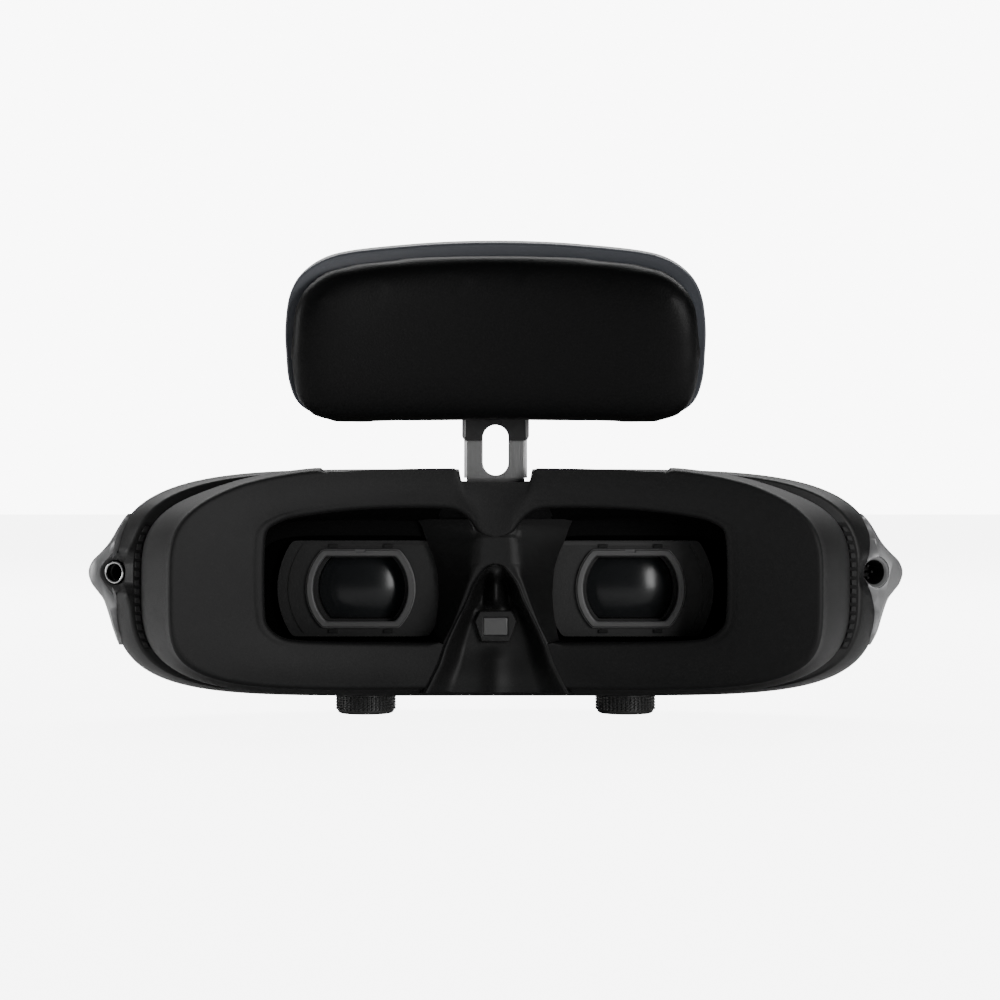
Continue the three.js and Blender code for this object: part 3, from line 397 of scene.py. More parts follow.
# Darker copy of the bracket steel: painted shadow and reflection of the pad on the slider.
SLIDE_PAINTED_SHADE = surface("slider painted shade", grey(60), 0.3, metal=0.6, grain=0.1, scale=420, stretch=UPRIGHT_GRAIN)
WINDOW_FACE = surface("sensor window", grey(92), 0.35, wear=0.04)
LENS = glass("coated lens")
DISPLAY = surface("display glass", grey(12), 0.05, coat=1.0, wear=0.02)
BOARD = surface("circuit board", (0.012, 0.06, 0.03), 0.5, grain=0.4, scale=260, cells=True)
ALUMINIUM = surface("fin aluminium", grey(190), 0.35, metal=1.0, grain=0.15, scale=500, stretch=LEVEL_GRAIN)
PAD_TRIM = surface("pad trim", grey(80, (0.9, 0.97, 1.12)), 0.42, grain=0.1, scale=2600)
LEATHER = surface("leatherette", grey(6, (1, 1, 1.04)), 0.46, grain=0.12, scale=2400, cells=True,
                  specular=0.16)
CONTACT = surface("socket contacts", grey(46), 0.45, metal=1.0, wear=0.03)
KNOB = surface("knob plastic", grey(84), 0.4, grain=0.15, scale=2600)
# Near-black for the shutters and carriages deep inside the housing: painted shade.
SHUTTER_PAINTED_SHADE = surface("shutter painted shade", grey(3), 0.95, grain=0.2, scale=1800, specular=0.05)
DARK = surface("shadow gap", grey(8), 0.8, wear=0.02)

SLOT_MATERIAL = {
    "housing_black": INSIDE, "visor_gloss": GLOSSY, "trim_grey": TRIM, "polished_steel": CHROME,
    "bracket_steel": NICKEL, "shield_rubber": SHIELD_RUBBER, "sensor_window": WINDOW_FACE,
    "ring_grey": RING_FACE, "lens_glass": LENS, "display_glass": DISPLAY, "board_green": BOARD,
    "heat_sink_aluminium": ALUMINIUM, "pad_shell_grey": PAD_TRIM, "pad_leather": LEATHER,
}
for part in frame["record"]["subparts"]:
    node = frame["nodes"][part["node"]]
    node.data.materials.clear()
    node.data.materials.append(SLOT_MATERIAL[part["material_slot"]])
frame["nodes"]["cable_socket_contacts"].data.materials[0] = CONTACT
# The optics carriages inside the housing are painted near-black: painted shade.
for name in ("optics_carriage_left", "optics_carriage_right"):
    frame["nodes"][name].data.materials[0] = SHUTTER_PAINTED_SHADE


def fit(obj, body, slot, *nodes):
    """Puts a finished piece on its body and hides the CAD nodes it stands for; the slot argument is not used.
    """
    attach(obj, body)
    if nodes:
        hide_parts(*nodes)
    return obj


# ---------- housing ----------
def nose_y(x, z):
    """Front cover's surface: how far forward it stands over each point."""
    x, z = np.asarray(x, float), np.asarray(z, float) - HOUSING["mid"]
    high = z > 0
    p = np.where(high, HOUSING["up"][0], HOUSING["down"][0])
    q = np.where(high, HOUSING["up"][1], HOUSING["down"][1])
    reach = np.where(high, HOUSING["top"] - HOUSING["mid"], HOUSING["mid"] - HOUSING["bottom"])
    low, top = np.zeros_like(x), np.full_like(x, 1.2)
    for _ in range(40):
        s = (low + top) / 2
        scale = np.maximum(s, 1e-6)
        inside = (np.abs(x) / HOUSING["half"] / scale) ** p + (np.abs(z) / reach / scale) ** q > 1
        low, top = np.where(inside, s, low), np.where(inside, top, s)
    s = np.clip(top, 0, 1)
    front = FRONT_Y - (SWEEP - np.sqrt(SWEEP**2 - x * x))
    return SPLIT_Y + 0.3 + (front - SPLIT_Y - 0.3) * (1 - s**FLAT) ** ROUND


def groove_dip(points):
    """Lowers the top of an [x, z] outline to the groove's floor near the middle."""
    p = points.copy()
    share = 1 - smoothstep(GROOVE["half"] - 0.25, GROOVE["half"] + 0.25, np.abs(p[:, 0]))
    over = (p[:, 1] > 45) * share
    p[:, 1] = p[:, 1] + (np.minimum(p[:, 1], GROOVE["floor"]) - p[:, 1]) * over
    return p


def dense_top(points):
    """Moves some points of an outline to the groove's edges so that its walls stay steep."""
    p = points.copy()
    top = p[:, 1] > 45
    x = p[:, 0]
    edge = GROOVE["half"]
    near = top & (np.abs(np.abs(x) - edge) < 2.4)
    pulled = np.sign(x) * (edge + np.sign(np.abs(x) - edge) * np.abs(np.abs(x) - edge) ** 2 / 2.4)
    p[near, 0] = pulled[near]
    return p


EAR = dict(core=3.7, width=4.6)  # bulge of the casing round the left socket


def ear_reach(z):
    """How far the bulge round the left socket stands out at a height."""
    return EAR["core"] * np.exp(-(((z - SOCKET["z"]) / EAR["width"]) ** 2))


def face_patch(points, side, reach):
    """Flattens the casing round a socket on to the slanted plane the socket opens in."""
    p = points.copy()
    plane = SOCKET["y"] + (side * p[:, 0] - SOCKET["x"]) * math.tan(SOCKET["tilt"])
    away = np.hypot(side * p[:, 0] - SOCKET["x"], p[:, 2] - SOCKET["z"])
    share = (1 - smoothstep(reach - 1.6, reach + 2.2, away)) * (side * p[:, 0] > 60)
    p[:, 1] += share * np.maximum(plane - p[:, 1], 0)
    return p


def lost(y):
    """How much narrower the casing has become towards its rear."""
    return -5.9 * ((SPLIT_Y - y) / (SPLIT_Y - REAR_Y)) ** 2


def band_outline(y, grow, ear=False):
    """The casing's outline at one depth."""
    shape = dict(HOUSING)
    shape["half"] += lost(y)
    shape["top"] += lost(y) * 0.1
    shape["bottom"] -= lost(y) * 0.25
    p = dense_top(outline(shape, grow, 640))
    if ear:
        left = p[:, 0] < -60
        p[left, 0] -= ear_reach(p[left, 1])
    return p


def tilted_frame(side):
    """Socket axis: its point on the lug's slanted face, and its direction out of the face."""
    t = SOCKET["tilt"]
    centre = np.array([side * SOCKET["x"], SOCKET["y"], SOCKET["z"]])
    return centre, np.array([side * math.sin(t), -math.cos(t), 0])


def socket_tool(side, radius, out, deep):
    centre, axis = tilted_frame(side)
    profile = [(out, 0), (out, radius), (-deep, radius), (-deep, 0)]
    return turned("tool", profile, centre, axis, INSIDE, 64)


def slab_tool(side):
    """Everything behind the slanted face of a lug, outside the casing."""
    centre, axis = tilted_frame(side)
    outward = np.array([side * math.cos(SOCKET["tilt"]), math.sin(SOCKET["tilt"]), 0])
    corners = []
    for along in (0, 12):
        for a, b in ((-0.4, -14), (16, -14), (16, 14), (-0.4, 14)):
            corners.append(centre + axis * along + outward * a + np.array([0, 0, b]))
    return link("slab", corners, BOX_FACES, INSIDE)


def rear_shell():
    rows = []
    for y in np.concatenate([[6.0, 5.9, 5.2], np.arange(4.4, -6.4, -0.6)]):
        rows.append((y, 0.0 if y < 5.95 else -0.12))
    for turn in np.radians(np.linspace(15, 90, 7)):
        rows.append((-6.4 - 0.6 * math.sin(turn), -0.6 * (1 - math.cos(turn))))
    loops = []
    for y, grow in rows:
        here = at_y(groove_dip(band_outline(y, grow, ear=True)), y)
        loops.append(face_patch(face_patch(here, -1, 4.4), 1, 3.6))
    for y, grow, place in ((-7.0, -3.4, -7.0), (-5.2, -3.4, -5.2), (5.8, -2.2, 6.0)):
        loops.append(at_y(groove_dip(band_outline(y, grow)), place))
    loops.append(loops[0])
    shell = loft("rear_shell", loops, SHELL, sharp=30)
    cut(shell, [socket_tool(-1, 3.05, 8, 1.6), socket_tool(-1, 3.4, -1.0, 12), socket_tool(1, 3.8, 8, 12)])
    fit(shell, "housing", "housing_black", "rear_housing")
    t = np.linspace(0, 2 * math.pi, 96, endpoint=False)
    c, s = np.cos(t), np.sin(t)
    wide = 24.2 * np.sign(c) * np.abs(c) ** 0.4
    tall = 12.6 * np.sign(s) * np.abs(s) ** 0.4
    windows = [np.column_stack([side * EYE_X + wide, EYE_Z + tall]) for side in (-1, 1)]
    # The wall behind the eye tunnels takes the near-black rubber: painted shade.
    wall = plate("rear_wall", groove_dip(band_outline(-7.0, -3.3)), windows, -6.95, -5.2, TUNNEL_PAINTED_SHADE)
    fit(wall, "housing", "housing_black")


COVER_WALL = 1.6


def front_shell():
    start = dense_top(outline(HOUSING, 0.0, 640))
    stop = dense_top(outline(VISOR, 0.35, 640))
    shares = np.concatenate([[0, 0.0004, 0.0015], np.linspace(0.06, 1, 26) ** 2])
    rings = [at_y(groove_dip(start), SPLIT_Y + 0.32)]
    for u in shares:
        p = start + (stop - start) * u
        rings.append(at_y(groove_dip(p), nose_y(p[:, 0], p[:, 1])))
    edge = rings[-1]
    inner = edge.copy()
    inner[:, 1] -= COVER_WALL
    rings += [edge + [0, -0.15, 0], inner]
    back = dense_top(outline(VISOR, -1.2, 640))
    rings.append(at_y(back, nose_y(back[:, 0], back[:, 1]) - COVER_WALL))
    rings[0][:, [0, 2]] += (np.array([0, HOUSING["mid"]]) - rings[0][:, [0, 2]]) * 0.02
    cover = loft("front_shell", rings, COVER, sharp=32)
    fit(cover, "housing", "housing_black", "front_cover")
    full = outline(VISOR, 0.0, 400)
    rings = []
    for lower, grow in ((1.2, 0.0), (0.25, 0.0), (0.08, -0.12), (0.0, -0.4)):
        p = outline(VISOR, grow, 400)
        rings.append(at_y(p, nose_y(p[:, 0], p[:, 1]) - 0.1 - lower))
    for u in np.linspace(0.97, 0.02, 26):
        p = full * [u, 1]
        p[:, 1] = VISOR["mid"] + (full[:, 1] - VISOR["mid"]) * u
        rings.append(at_y(p, nose_y(p[:, 0], p[:, 1]) - 0.1))
    visor = loft("visor", rings, GLOSSY, caps=(False, True), sharp=50)
    fit(visor, "housing", "visor_gloss", "visor_panel")


def casing_x(y, z):
    """Half width of the casing at several depths, at one height."""
    high = z > HOUSING["mid"]
    reach = HOUSING["top"] - HOUSING["mid"] if high else HOUSING["mid"] - HOUSING["bottom"]
    p, q = HOUSING["up"] if high else HOUSING["down"]
    widest = HOUSING["half"] * (1 - (abs(z - HOUSING["mid"]) / reach) ** q) ** (1 / p)
    low, top = np.full_like(y, 30.0), np.full_like(y, widest)
    for _ in range(24):
        x = (low + top) / 2
        deeper = nose_y(x, z) > y
        low, top = np.where(deeper, x, low), np.where(deeper, top, x)
    return np.where(y <= SPLIT_Y + 0.4, widest + lost(np.minimum(y, SPLIT_Y)), top)


# Heights on a lug and how far its edge stands off the casing there.
LUG_EDGE = [
    (17.6, 0.4), (20.6, 0.8), (24.5, 1.25), (28.3, 2.3), (30.3, 3.65), (32.2, 5.1), (34.1, 5.85),
    (35.1, 5.95), (36.1, 5.85), (38.0, 5.0), (39.9, 3.3), (41.9, 1.9), (43.8, 1.2), (45.7, 0.9),
    (47.7, 0.7), (49.2, 0.4),
]
LUG_SKIN = 0.38  # the least it stands off anywhere


def lug(side, name):
    """Satin bell-shaped lug, one closed section per height."""
    rows = []
    edge = smooth_path(LUG_EDGE, 200)
    for z in np.linspace(17.6, 49.2, 64):
        end = float(smoothstep(12.3, 15.8, abs(z - 33.4)))
        start = -0.3 - 3.3 * math.exp(-(((z - SOCKET["z"]) / 8.0) ** 4)) + 2.2 * end ** 2
        stop = 14.5 - 4.5 * end ** 2
        thick = float(np.interp(z, edge[:, 0], edge[:, 1])) - LUG_SKIN
        outer, inner = [], []
        depths = np.concatenate([np.linspace(start, 6.2, 16), np.linspace(6.6, stop, 16)])
        for y, skin in zip(depths, casing_x(depths, z)):
            far = 1 - float(smoothstep(4.0, stop, y))
            x = skin + LUG_SKIN + max(thick, 0) * far
            if side < 0 and y < 6:
                skin += ear_reach(z) + 0.5
                x = max(x, skin + 0.3)
            outer.append((x, y, z))
            inner.append((skin - 0.6, y, z))
        rows.append(np.array(outer + inner[::-1]) * [side, 1, 1])
    made = loft(f"lug_{name}", rows, TRIM, caps=(True, True), sharp=30)
    radius, deep = (3.4, 3) if side < 0 else (3.9, 6)
    cut(made, [slab_tool(side), socket_tool(side, radius, 8, deep)])
    add_bevel(made, 0.15, 2, 50)
    made.data.shade_smooth()
    made.data.set_sharp_from_angle(angle=math.radians(50))
    fit(made, "housing", "trim_grey", f"side_trim_{name}")


def sockets():
    centre, axis = tilted_frame(-1)
    lip = [(0.35 + 0.3 * math.sin(a), 2.4 - 0.3 * math.cos(a)) for a in np.linspace(0, math.pi, 9)]
    ring = [(-0.8, 2.1), (0.3, 2.1)] + lip + [(0.3, 2.72), (-0.8, 2.72), (-0.8, 2.1)]
    made = turned("jack_ring", ring, centre, axis, CHROME, 96, 40)
    fit(made, "housing", "polished_steel", "audio_jack_ring")
    body = [(-1.1, 3.1), (-1.1, 2.2), (-1.3, 1.9), (-9.5, 1.85), (-9.5, 0.0), (-11, 0.0), (-11, 3.1)]
    body.append(body[0])
    fit(turned("jack_body", body, centre, axis, INSIDE, 64), "housing", "housing_black", "audio_jack_body")
    centre, axis = tilted_frame(1)
    shell = [(-0.9, 3.5), (-0.8, 3.4), (-0.8, 3.1), (-1.0, 2.92), (-9.5, 2.9), (-9.5, 0.0)]
    shell += [(-11, 0.0), (-11, 3.5), (-0.9, 3.5)]
    made = turned("cable_shell", shell, centre, axis, INSIDE, 64)
    fit(made, "housing", "housing_black", "cable_socket_shell")
    rim = [(-0.78, 2.95), (-0.35, 3.2), (-0.08, 3.6), (-0.12, 3.78), (-0.78, 3.78), (-0.78, 2.95)]
    fit(turned("cable_rim", rim, centre, axis, TRIM, 64), "housing", "trim_grey")


def vent(side, name):
    """Ribbed strip between the face shield and the rear shell."""
    verts, faces = [], []
    hem = outline(SKIRT, 0.0, 1200)
    hem = hem[hem[:, 0] > 40]
    hem = hem[np.argsort(hem[:, 1])]

    def add(x0, x1, y0, y1, z0, z1):
        lean = lambda z: float(np.interp(z, hem[:, 1], hem[:, 0]))
        base = len(verts)
        for z in (z0, z1):
            for x, y in ((x0, y0), (x1, y0), (x1, y1), (x0, y1)):
                verts.append((side * (x + lean(z)), y, z))
        faces.extend(tuple(base + i for i in face) for face in BOX_FACES)

    edges = np.linspace(17.2, 47.2, 25)
    for a, b in zip(edges[:-1], edges[1:]):
        add(-1.2, 2.05, REAR_Y - 0.04, REAR_Y + 0.4, a, b)
    backing = link(f"vent_back_{name}", verts, faces, DARK)
    fit(backing, "housing", "housing_black")
    verts, faces = [], []
    for i in range(14):
        z = 18.3 + i * 2.1
        add(0.35, 1.6, REAR_Y - 0.4, REAR_Y + 0.3, z - 0.7, z + 0.7)
    ribs = link(f"vent_ribs_{name}", verts, faces, INSIDE)
    add_bevel(ribs, 0.15, 2)
    fit(ribs, "housing", "housing_black", f"vent_strip_{name}")


rear_shell()
front_shell()
both(lug)
sockets()
both(vent)


# ---------- face shield ----------
def face_y(x):
    """Depth of the curved surface that faces the wearer."""
    return FACE_Y - (FACE_R - np.sqrt(FACE_R**2 - np.asarray(x, float) ** 2))


# Opening of the right eye on the face side, from the brow's middle round the temple to the nose.
OPENING = [
    (0, 43.9), (1.8, 44.0), (3.2, 44.4), (4.4, 45.3), (5.7, 47.2), (7.6, 49.0), (10.7, 50.3),
    (18.7, 50.6), (27.9, 50.4), (37, 49.7), (46.1, 48.4), (49.8, 47.2), (52.2, 45.4), (52.8, 41.7),
    (52.95, 34), (52.8, 27), (52.2, 23.9), (49.8, 21.5), (46.1, 20.4), (37, 19.8), (21.8, 19.4),
    (16, 19.35), (13.1, 19.35),
]
TUNNEL = [
    (0, 42.6), (5, 42.8), (9.6, 43.4), (12.0, 45.2), (14, 46.8), (17, 47.5), (21, 47.8), (26, 47.9),
    (31, 47.9), (38, 47.8), (49, 47.4), (53, 46.3), (55.4, 44.3), (56.6, 41), (57, 34), (56.6, 27),
    (55.6, 22.6), (52.6, 19.7), (47, 18.7), (38, 18.4), (24, 18.4), (18, 18.8), (14.7, 19.4),
]
RIM = [
    (0, 37.6), (1.2, 37.25), (2.4, 36.4), (4.8, 33.1), (6.6, 28.8), (9, 24.1), (11.4, 18.8), (12.8, 14.6),
    (14.2, 11.7), (15.9, 8.4), (17.6, 5.4),
]
COLUMNS = 260  # points along half of the shield
LIP_R, RIM_R = 1.3, 1.1  # rounding of the eye openings and of the outer rim


def outer_half(shape, grow=0.0, low_x=17.3):
    """Right half of an outline, from the top's middle round to its bottom beside the nose."""
    p = outline(shape, grow, 1600)
    right = p[p[:, 0] >= 0]
    right = right[np.argsort(-np.arctan2(right[:, 1] - shape["mid"], right[:, 0]))]
    right = right[~((right[:, 1] < shape["mid"]) & (right[:, 0] < low_x))]
    return np.vstack([[0, right[0, 1]], right])


def notch_dip(points):
    """Lowers the shield's top edge under the bracket."""
    p = points.copy()
    share = 1 - smoothstep(7.6, 9.6, np.abs(p[:, 0]))
    p[:, 1] -= np.where(p[:, 1] > 50, 3.25 * share, 0)
    return p


def matched(outer, start):
    """Points of an outer path that face the points of the inner one."""
    along = lengths(outer)
    keys_in = np.array([0, 0.17, 0.36, 0.5, 0.66, 0.80, 1.0])
    marks = [(16, 60), (58, 56), (73, 34), (62, 11.5), (36, 9.5)]
    keys_out = [0.0]
    for x, z in marks:
        keys_out.append(along[np.argmin((outer[:, 0] - x) ** 2 + (outer[:, 1] - z) ** 2)] / along[-1])
    keys_out.append(1.0)
    keys_out = np.maximum.accumulate(keys_out)
    return points_at(outer, np.interp(start, keys_in, keys_out) * along[-1])


def mirrored_pair(rows):
    """Joins rows of the right half with their mirror image into full rows."""
    return [np.vstack([r[::-1] * [-1, 1, 1], r[1:]]) for r in rows]


def x_at(path, z):
    """How far out a falling path lies at a height."""
    path = np.asarray(path)
    return float(np.interp(-z, -path[:, 1], path[:, 0]))


def seam_x(z):
    """Where the shield meets the nose bridge below the eyes."""
    return x_at(RIM, z) + 0.75


def shield():
    t = np.linspace(0, 1, COLUMNS)
    inner = smooth_path(OPENING, COLUMNS)
    deep = smooth_path(TUNNEL, COLUMNS)
    face_out = matched(notch_dip(outer_half(FACE)), t)
    skirt_out = matched(notch_dip(outer_half(SKIRT, 0.0, 18.0)), t)
    rows = []

    def row(xz, y):
        rows.append(at_y(xz, y))

    # tunnel wall, from the eyepiece back to the opening
    for s in (0.0, 0.25, 0.5, 0.75):
        p = deep + (inner - deep) * s
        row(p, -8.3 + (face_y(inner[:, 0]) + 1.5 + 8.3) * s)
    # rounded edge of the opening
    out = -across(np.gradient(inner, axis=0))
    middle = COLUMNS // 2
    if out[middle] @ (inner[middle] - np.array([32.0, 34.0])) < 0:
        out = -out
    fade = smoothstep(0.0, 0.05, t) * smoothstep(0.0, 0.03, 1 - t)
    for turn in np.radians(np.linspace(0, 90, 7)):
        shift = LIP_R * (1 - math.cos(turn))
        row(inner + out * shift * fade[:, None], face_y(inner[:, 0]) + LIP_R * (1 - math.sin(turn)))
    first = inner + out * LIP_R * fade[:, None]
    # face surface out to its rounded rim
    low_z = OPENING[-1][1]
    for s in np.linspace(0.04, 1, 26):
        p = first + (face_out - first) * s
        z_line = low_z + (face_out[-1, 1] - low_z) * s
        want = np.array([seam_x(z_line), z_line])
        p = p + (want - p[-1]) * (t[:, None] ** 8)
        crown = 0.35 * math.sin(math.pi * s)
        row(p, face_y(p[:, 0]) - crown * smoothstep(0, 0.1, t) * smoothstep(0, 0.1, 1 - t))
    last = rows[-1]
    away = unit(skirt_out - face_out)
    # rounded outer rim, then the side wall down to the skirt
    for turn in np.radians(np.linspace(15, 90, 6)):
        xz = last[:, [0, 2]] + away * RIM_R * math.sin(turn)
        row(xz, last[:, 1] + RIM_R * (1 - math.cos(turn)))
    top = rows[-1]
    for s in np.linspace(0.12, 1, 12):
        bow = math.sin(s * math.pi) * 1.0
        xz = top[:, [0, 2]] + (skirt_out - top[:, [0, 2]]) * s + away * bow
        row(xz, top[:, 1] + (SKIRT_Y - top[:, 1]) * s)
    hem = rows[-1][:, [0, 2]]
    inward = unit(np.array([40.0, 33.0]) - hem)
    under, seat = SKIRT_Y + 0.25, REAR_Y - 0.08
    for step, y in ((0.25, under), (1.2, under), (1.3, seat), (4.2, seat), (4.2, SKIRT_Y - 1.5)):
        row(hem + inward * step, y)
    made = loft("shield", mirrored_pair(rows), SHIELD_RUBBER, closed=False, sharp=60)
    # Faces more than 1.35 mm behind the face surface, inside the tunnels, take the near-black second
    # material: painted shade in the recesses.
    made.data.materials.append(TUNNEL_PAINTED_SHADE)
    for face in made.data.polygons:
        x, y, z = face.center / MM
        if 13 < abs(x) < 62 and 15 < z < 55 and y > face_y(x) + 1.35:
            face.material_index = 1
    fit(made, "shield", "shield_rubber", "face_shield")


def bridge():
    """Soft nose bridge: a saddle between the eyes with a V-shaped rim round a recess."""
    rim = smooth_path(RIM, 400)
    open_edge = [
        (6.6, 48.2), (5.4, 46.6), (5.0, 45.2), (5.1, 44.0), (5.5, 42.5), (5.7, 39.7), (6.4, 35),
        (8, 30.2), (10.4, 23.6), (12.4, 19.75), (12.75, 19.0),
    ]
    low_edge = [
        (18.5, 48.2), (17.4, 46), (16.4, 43), (15.0, 40), (13.8, 36), (13.4, 30), (13.8, 25),
        (15.0, 19.4), (15.1, 19.0),
    ]
    rows = []
    stretches = ((48.0, 44.4, 9), (43.9, 38.0, 16), (37.7, 36.2, 14), (35.8, 7.6, 100))
    heights = np.concatenate([np.linspace(*stretch) for stretch in stretches])
    for z in heights:
        rim_x = x_at(rim, z) if z < 37.6 else 0.0
        if z > 19.2:
            edge_x = x_at(open_edge, z)
            wall_x = x_at(low_edge, z)
        else:
            edge_x = seam_x(z) + 0.05
            wall_x = edge_x + 2.2
        row = bridge_row(z, rim_x, edge_x, wall_x, bridge_depth(z, rim_x))
        if z > 43.95:
            hidden = row[:, 0] < edge_x - 0.01
            row[hidden, 1] += 0.4
        rows.append(row)
    for z, drop in ((7.35, 0.6), (7.3, 3.0)):
        last = rows[-1].copy()
        last[:, 2] = z
        last[:, 1] = np.minimum(last[:, 1] + drop, -8.0)
        rows.append(last)
    made = loft("bridge", mirrored_pair(rows), BRIDGE_RUBBER, closed=False, sharp=60)
    fit(made, "shield", "shield_rubber", "nose_bridge")


def bridge_depth(z, rim_x):
    """How far the recess inside the V lies forward of the face surface."""
    if rim_x <= 0:
        return 0.0
    upper = 5.4 * smoothstep(0.0, 5.0, 37.6 - z)
    lower = 2.2 * (1 - smoothstep(9.0, 19.0, z))
    return float(upper - lower)


def bridge_row(z, rim_x, edge_x, wall_x, depth):
    """One level of the bridge from its middle out to the eyepiece side."""
    points = []
    surface_y = lambda x: float(face_y(x)) + 0.02
    inner = rim_x * (0.5 if z > 27 else 0.62)
    for u in np.linspace(0, 1, 26):
        x = inner * u
        y = surface_y(x) + depth
        ridge = math.exp(-((x / 1.5) ** 2)) * smoothstep(26.5, 29.5, z) * (1 - smoothstep(34.5, 37.0, z))
        hollow = math.exp(-(((x - 3.2) / 1.3) ** 2)) * smoothstep(25.5, 28.5, z)
        hollow *= 1 - smoothstep(33.0, 35.5, z)
        y += float(-2.4 * ridge + 1.6 * hollow)
        if z < 19:
            y -= 0.7 * math.exp(-((x / 2.4) ** 2)) * float(smoothstep(19, 15, z))
        points.append((x, y, z))
    base = points[-1][1]
    for u in np.linspace(0.12, 1, 10):
        x = inner + (rim_x - inner) * u
        lift = smoothstep(0, 1, u)
        lip = 0.45 * math.exp(-(((u - 1) / 0.3) ** 2)) if rim_x > 0 else 0
        points.append((x, base + (surface_y(x) - base) * lift - lip, z))
    for u in np.linspace(0.08, 1, 14):
        x = rim_x + (edge_x - rim_x) * u
        lip = 0.45 * math.exp(-((u * (edge_x - rim_x) / 0.35) ** 2)) if rim_x > 0 else 0
        round_off = 0.9 * max(0, (u - 0.55) / 0.45) ** 2 if z > 19.2 else 0.25 * max(0, (u - 0.7) / 0.3) ** 2
        points.append((x, surface_y(x) - lip + round_off, z))
    x0, y0 = points[-1][0], points[-1][1]
    for u in np.linspace(0.1, 1, 10):
        points.append((x0 + (wall_x - x0) * u, y0 + (-8.2 - y0) * u, z))
    return np.array(points)


def sensor():
    z, half, height = 22.9, 5.0, 3.7
    corners = [(-0.66, -1), (0.66, -1), (1.0, 0.35), (0.74, 1), (-0.74, 1), (-1.0, 0.35)]
    hexagon = [(cx * half, z + cz * height) for cx, cz in corners]
    hole = [(-2.75, z - 2.0), (2.75, z - 2.0), (2.75, z + 2.0), (-2.75, z + 2.0)]
    body = plate("sensor_block", hexagon, [hole], -14.2, -8.4, INSIDE, 0.35)
    fit(body, "housing", "housing_black", "sensor_housing")
    window = box_mesh("sensor_pane", (-2.8, -14.0, z - 2.05), (2.8, -13.2, z + 2.05), WINDOW_FACE, 0.2)
    fit(window, "housing", "sensor_window", "sensor_window")


EYE_GAP = [(11, 44), (14, 47.6), (28, 48.2), (47, 48), (55.6, 45), (57.4, 36), (56.6, 24), (52, 18.9),
           (42, 18), (24, 18), (14.4, 19), (11.8, 26)]


def frame_plate():
    """Plate behind the shield, open round each eye and the sensor."""
    outer = groove_dip(outline(SKIRT, -4.3, 400))
    holes = [smooth_path(EYE_GAP, 120, True) * [side, 1] for side in (-1, 1)]
    holes.append(np.array([(-6.2, 18.4), (6.2, 18.4), (6.2, 27.6), (-6.2, 27.6)]))
    made = plate("shield_plate", outer, holes, -8.4, -7.6, INSIDE, 0.15)
    fit(made, "shield", "housing_black", "shield_frame")


shield()
bridge()
sensor()
frame_plate()


# ---------- eyepieces ----------
def flat_circle(r, h, grow=0.0, corner=4):
    """A circle about the origin cut off flat above and below, its four corners softened."""
    r, h = r + grow, h + grow
    reach = math.asin(min(h / r, 1.0))
    points = []
    for turn in (0, math.pi):
        points += [(r * math.cos(t), r * math.sin(t)) for t in np.linspace(turn - reach, turn + reach, 40)]
    return softened(resample(np.array(points), 320), corner)


def on_eye(p, side):
    """An [x, z] outline moved to one eye."""
    return np.column_stack([side * (EYE_X + p[:, 0]), EYE_Z + p[:, 1]])


def placed(p, side, y):
    return at_y(on_eye(p, side), y)


def ring_tool(name, path, width, y0, y1):
    """A thin closed wall that follows a path, for cutting a seam."""
    path = np.asarray(path)
    normal = across(np.gradient(path, axis=0))
    loop = np.vstack([path + normal * width / 2, (path - normal * width / 2)[::-1]])
    return plate(name, loop, [], y0, y1, DARK)


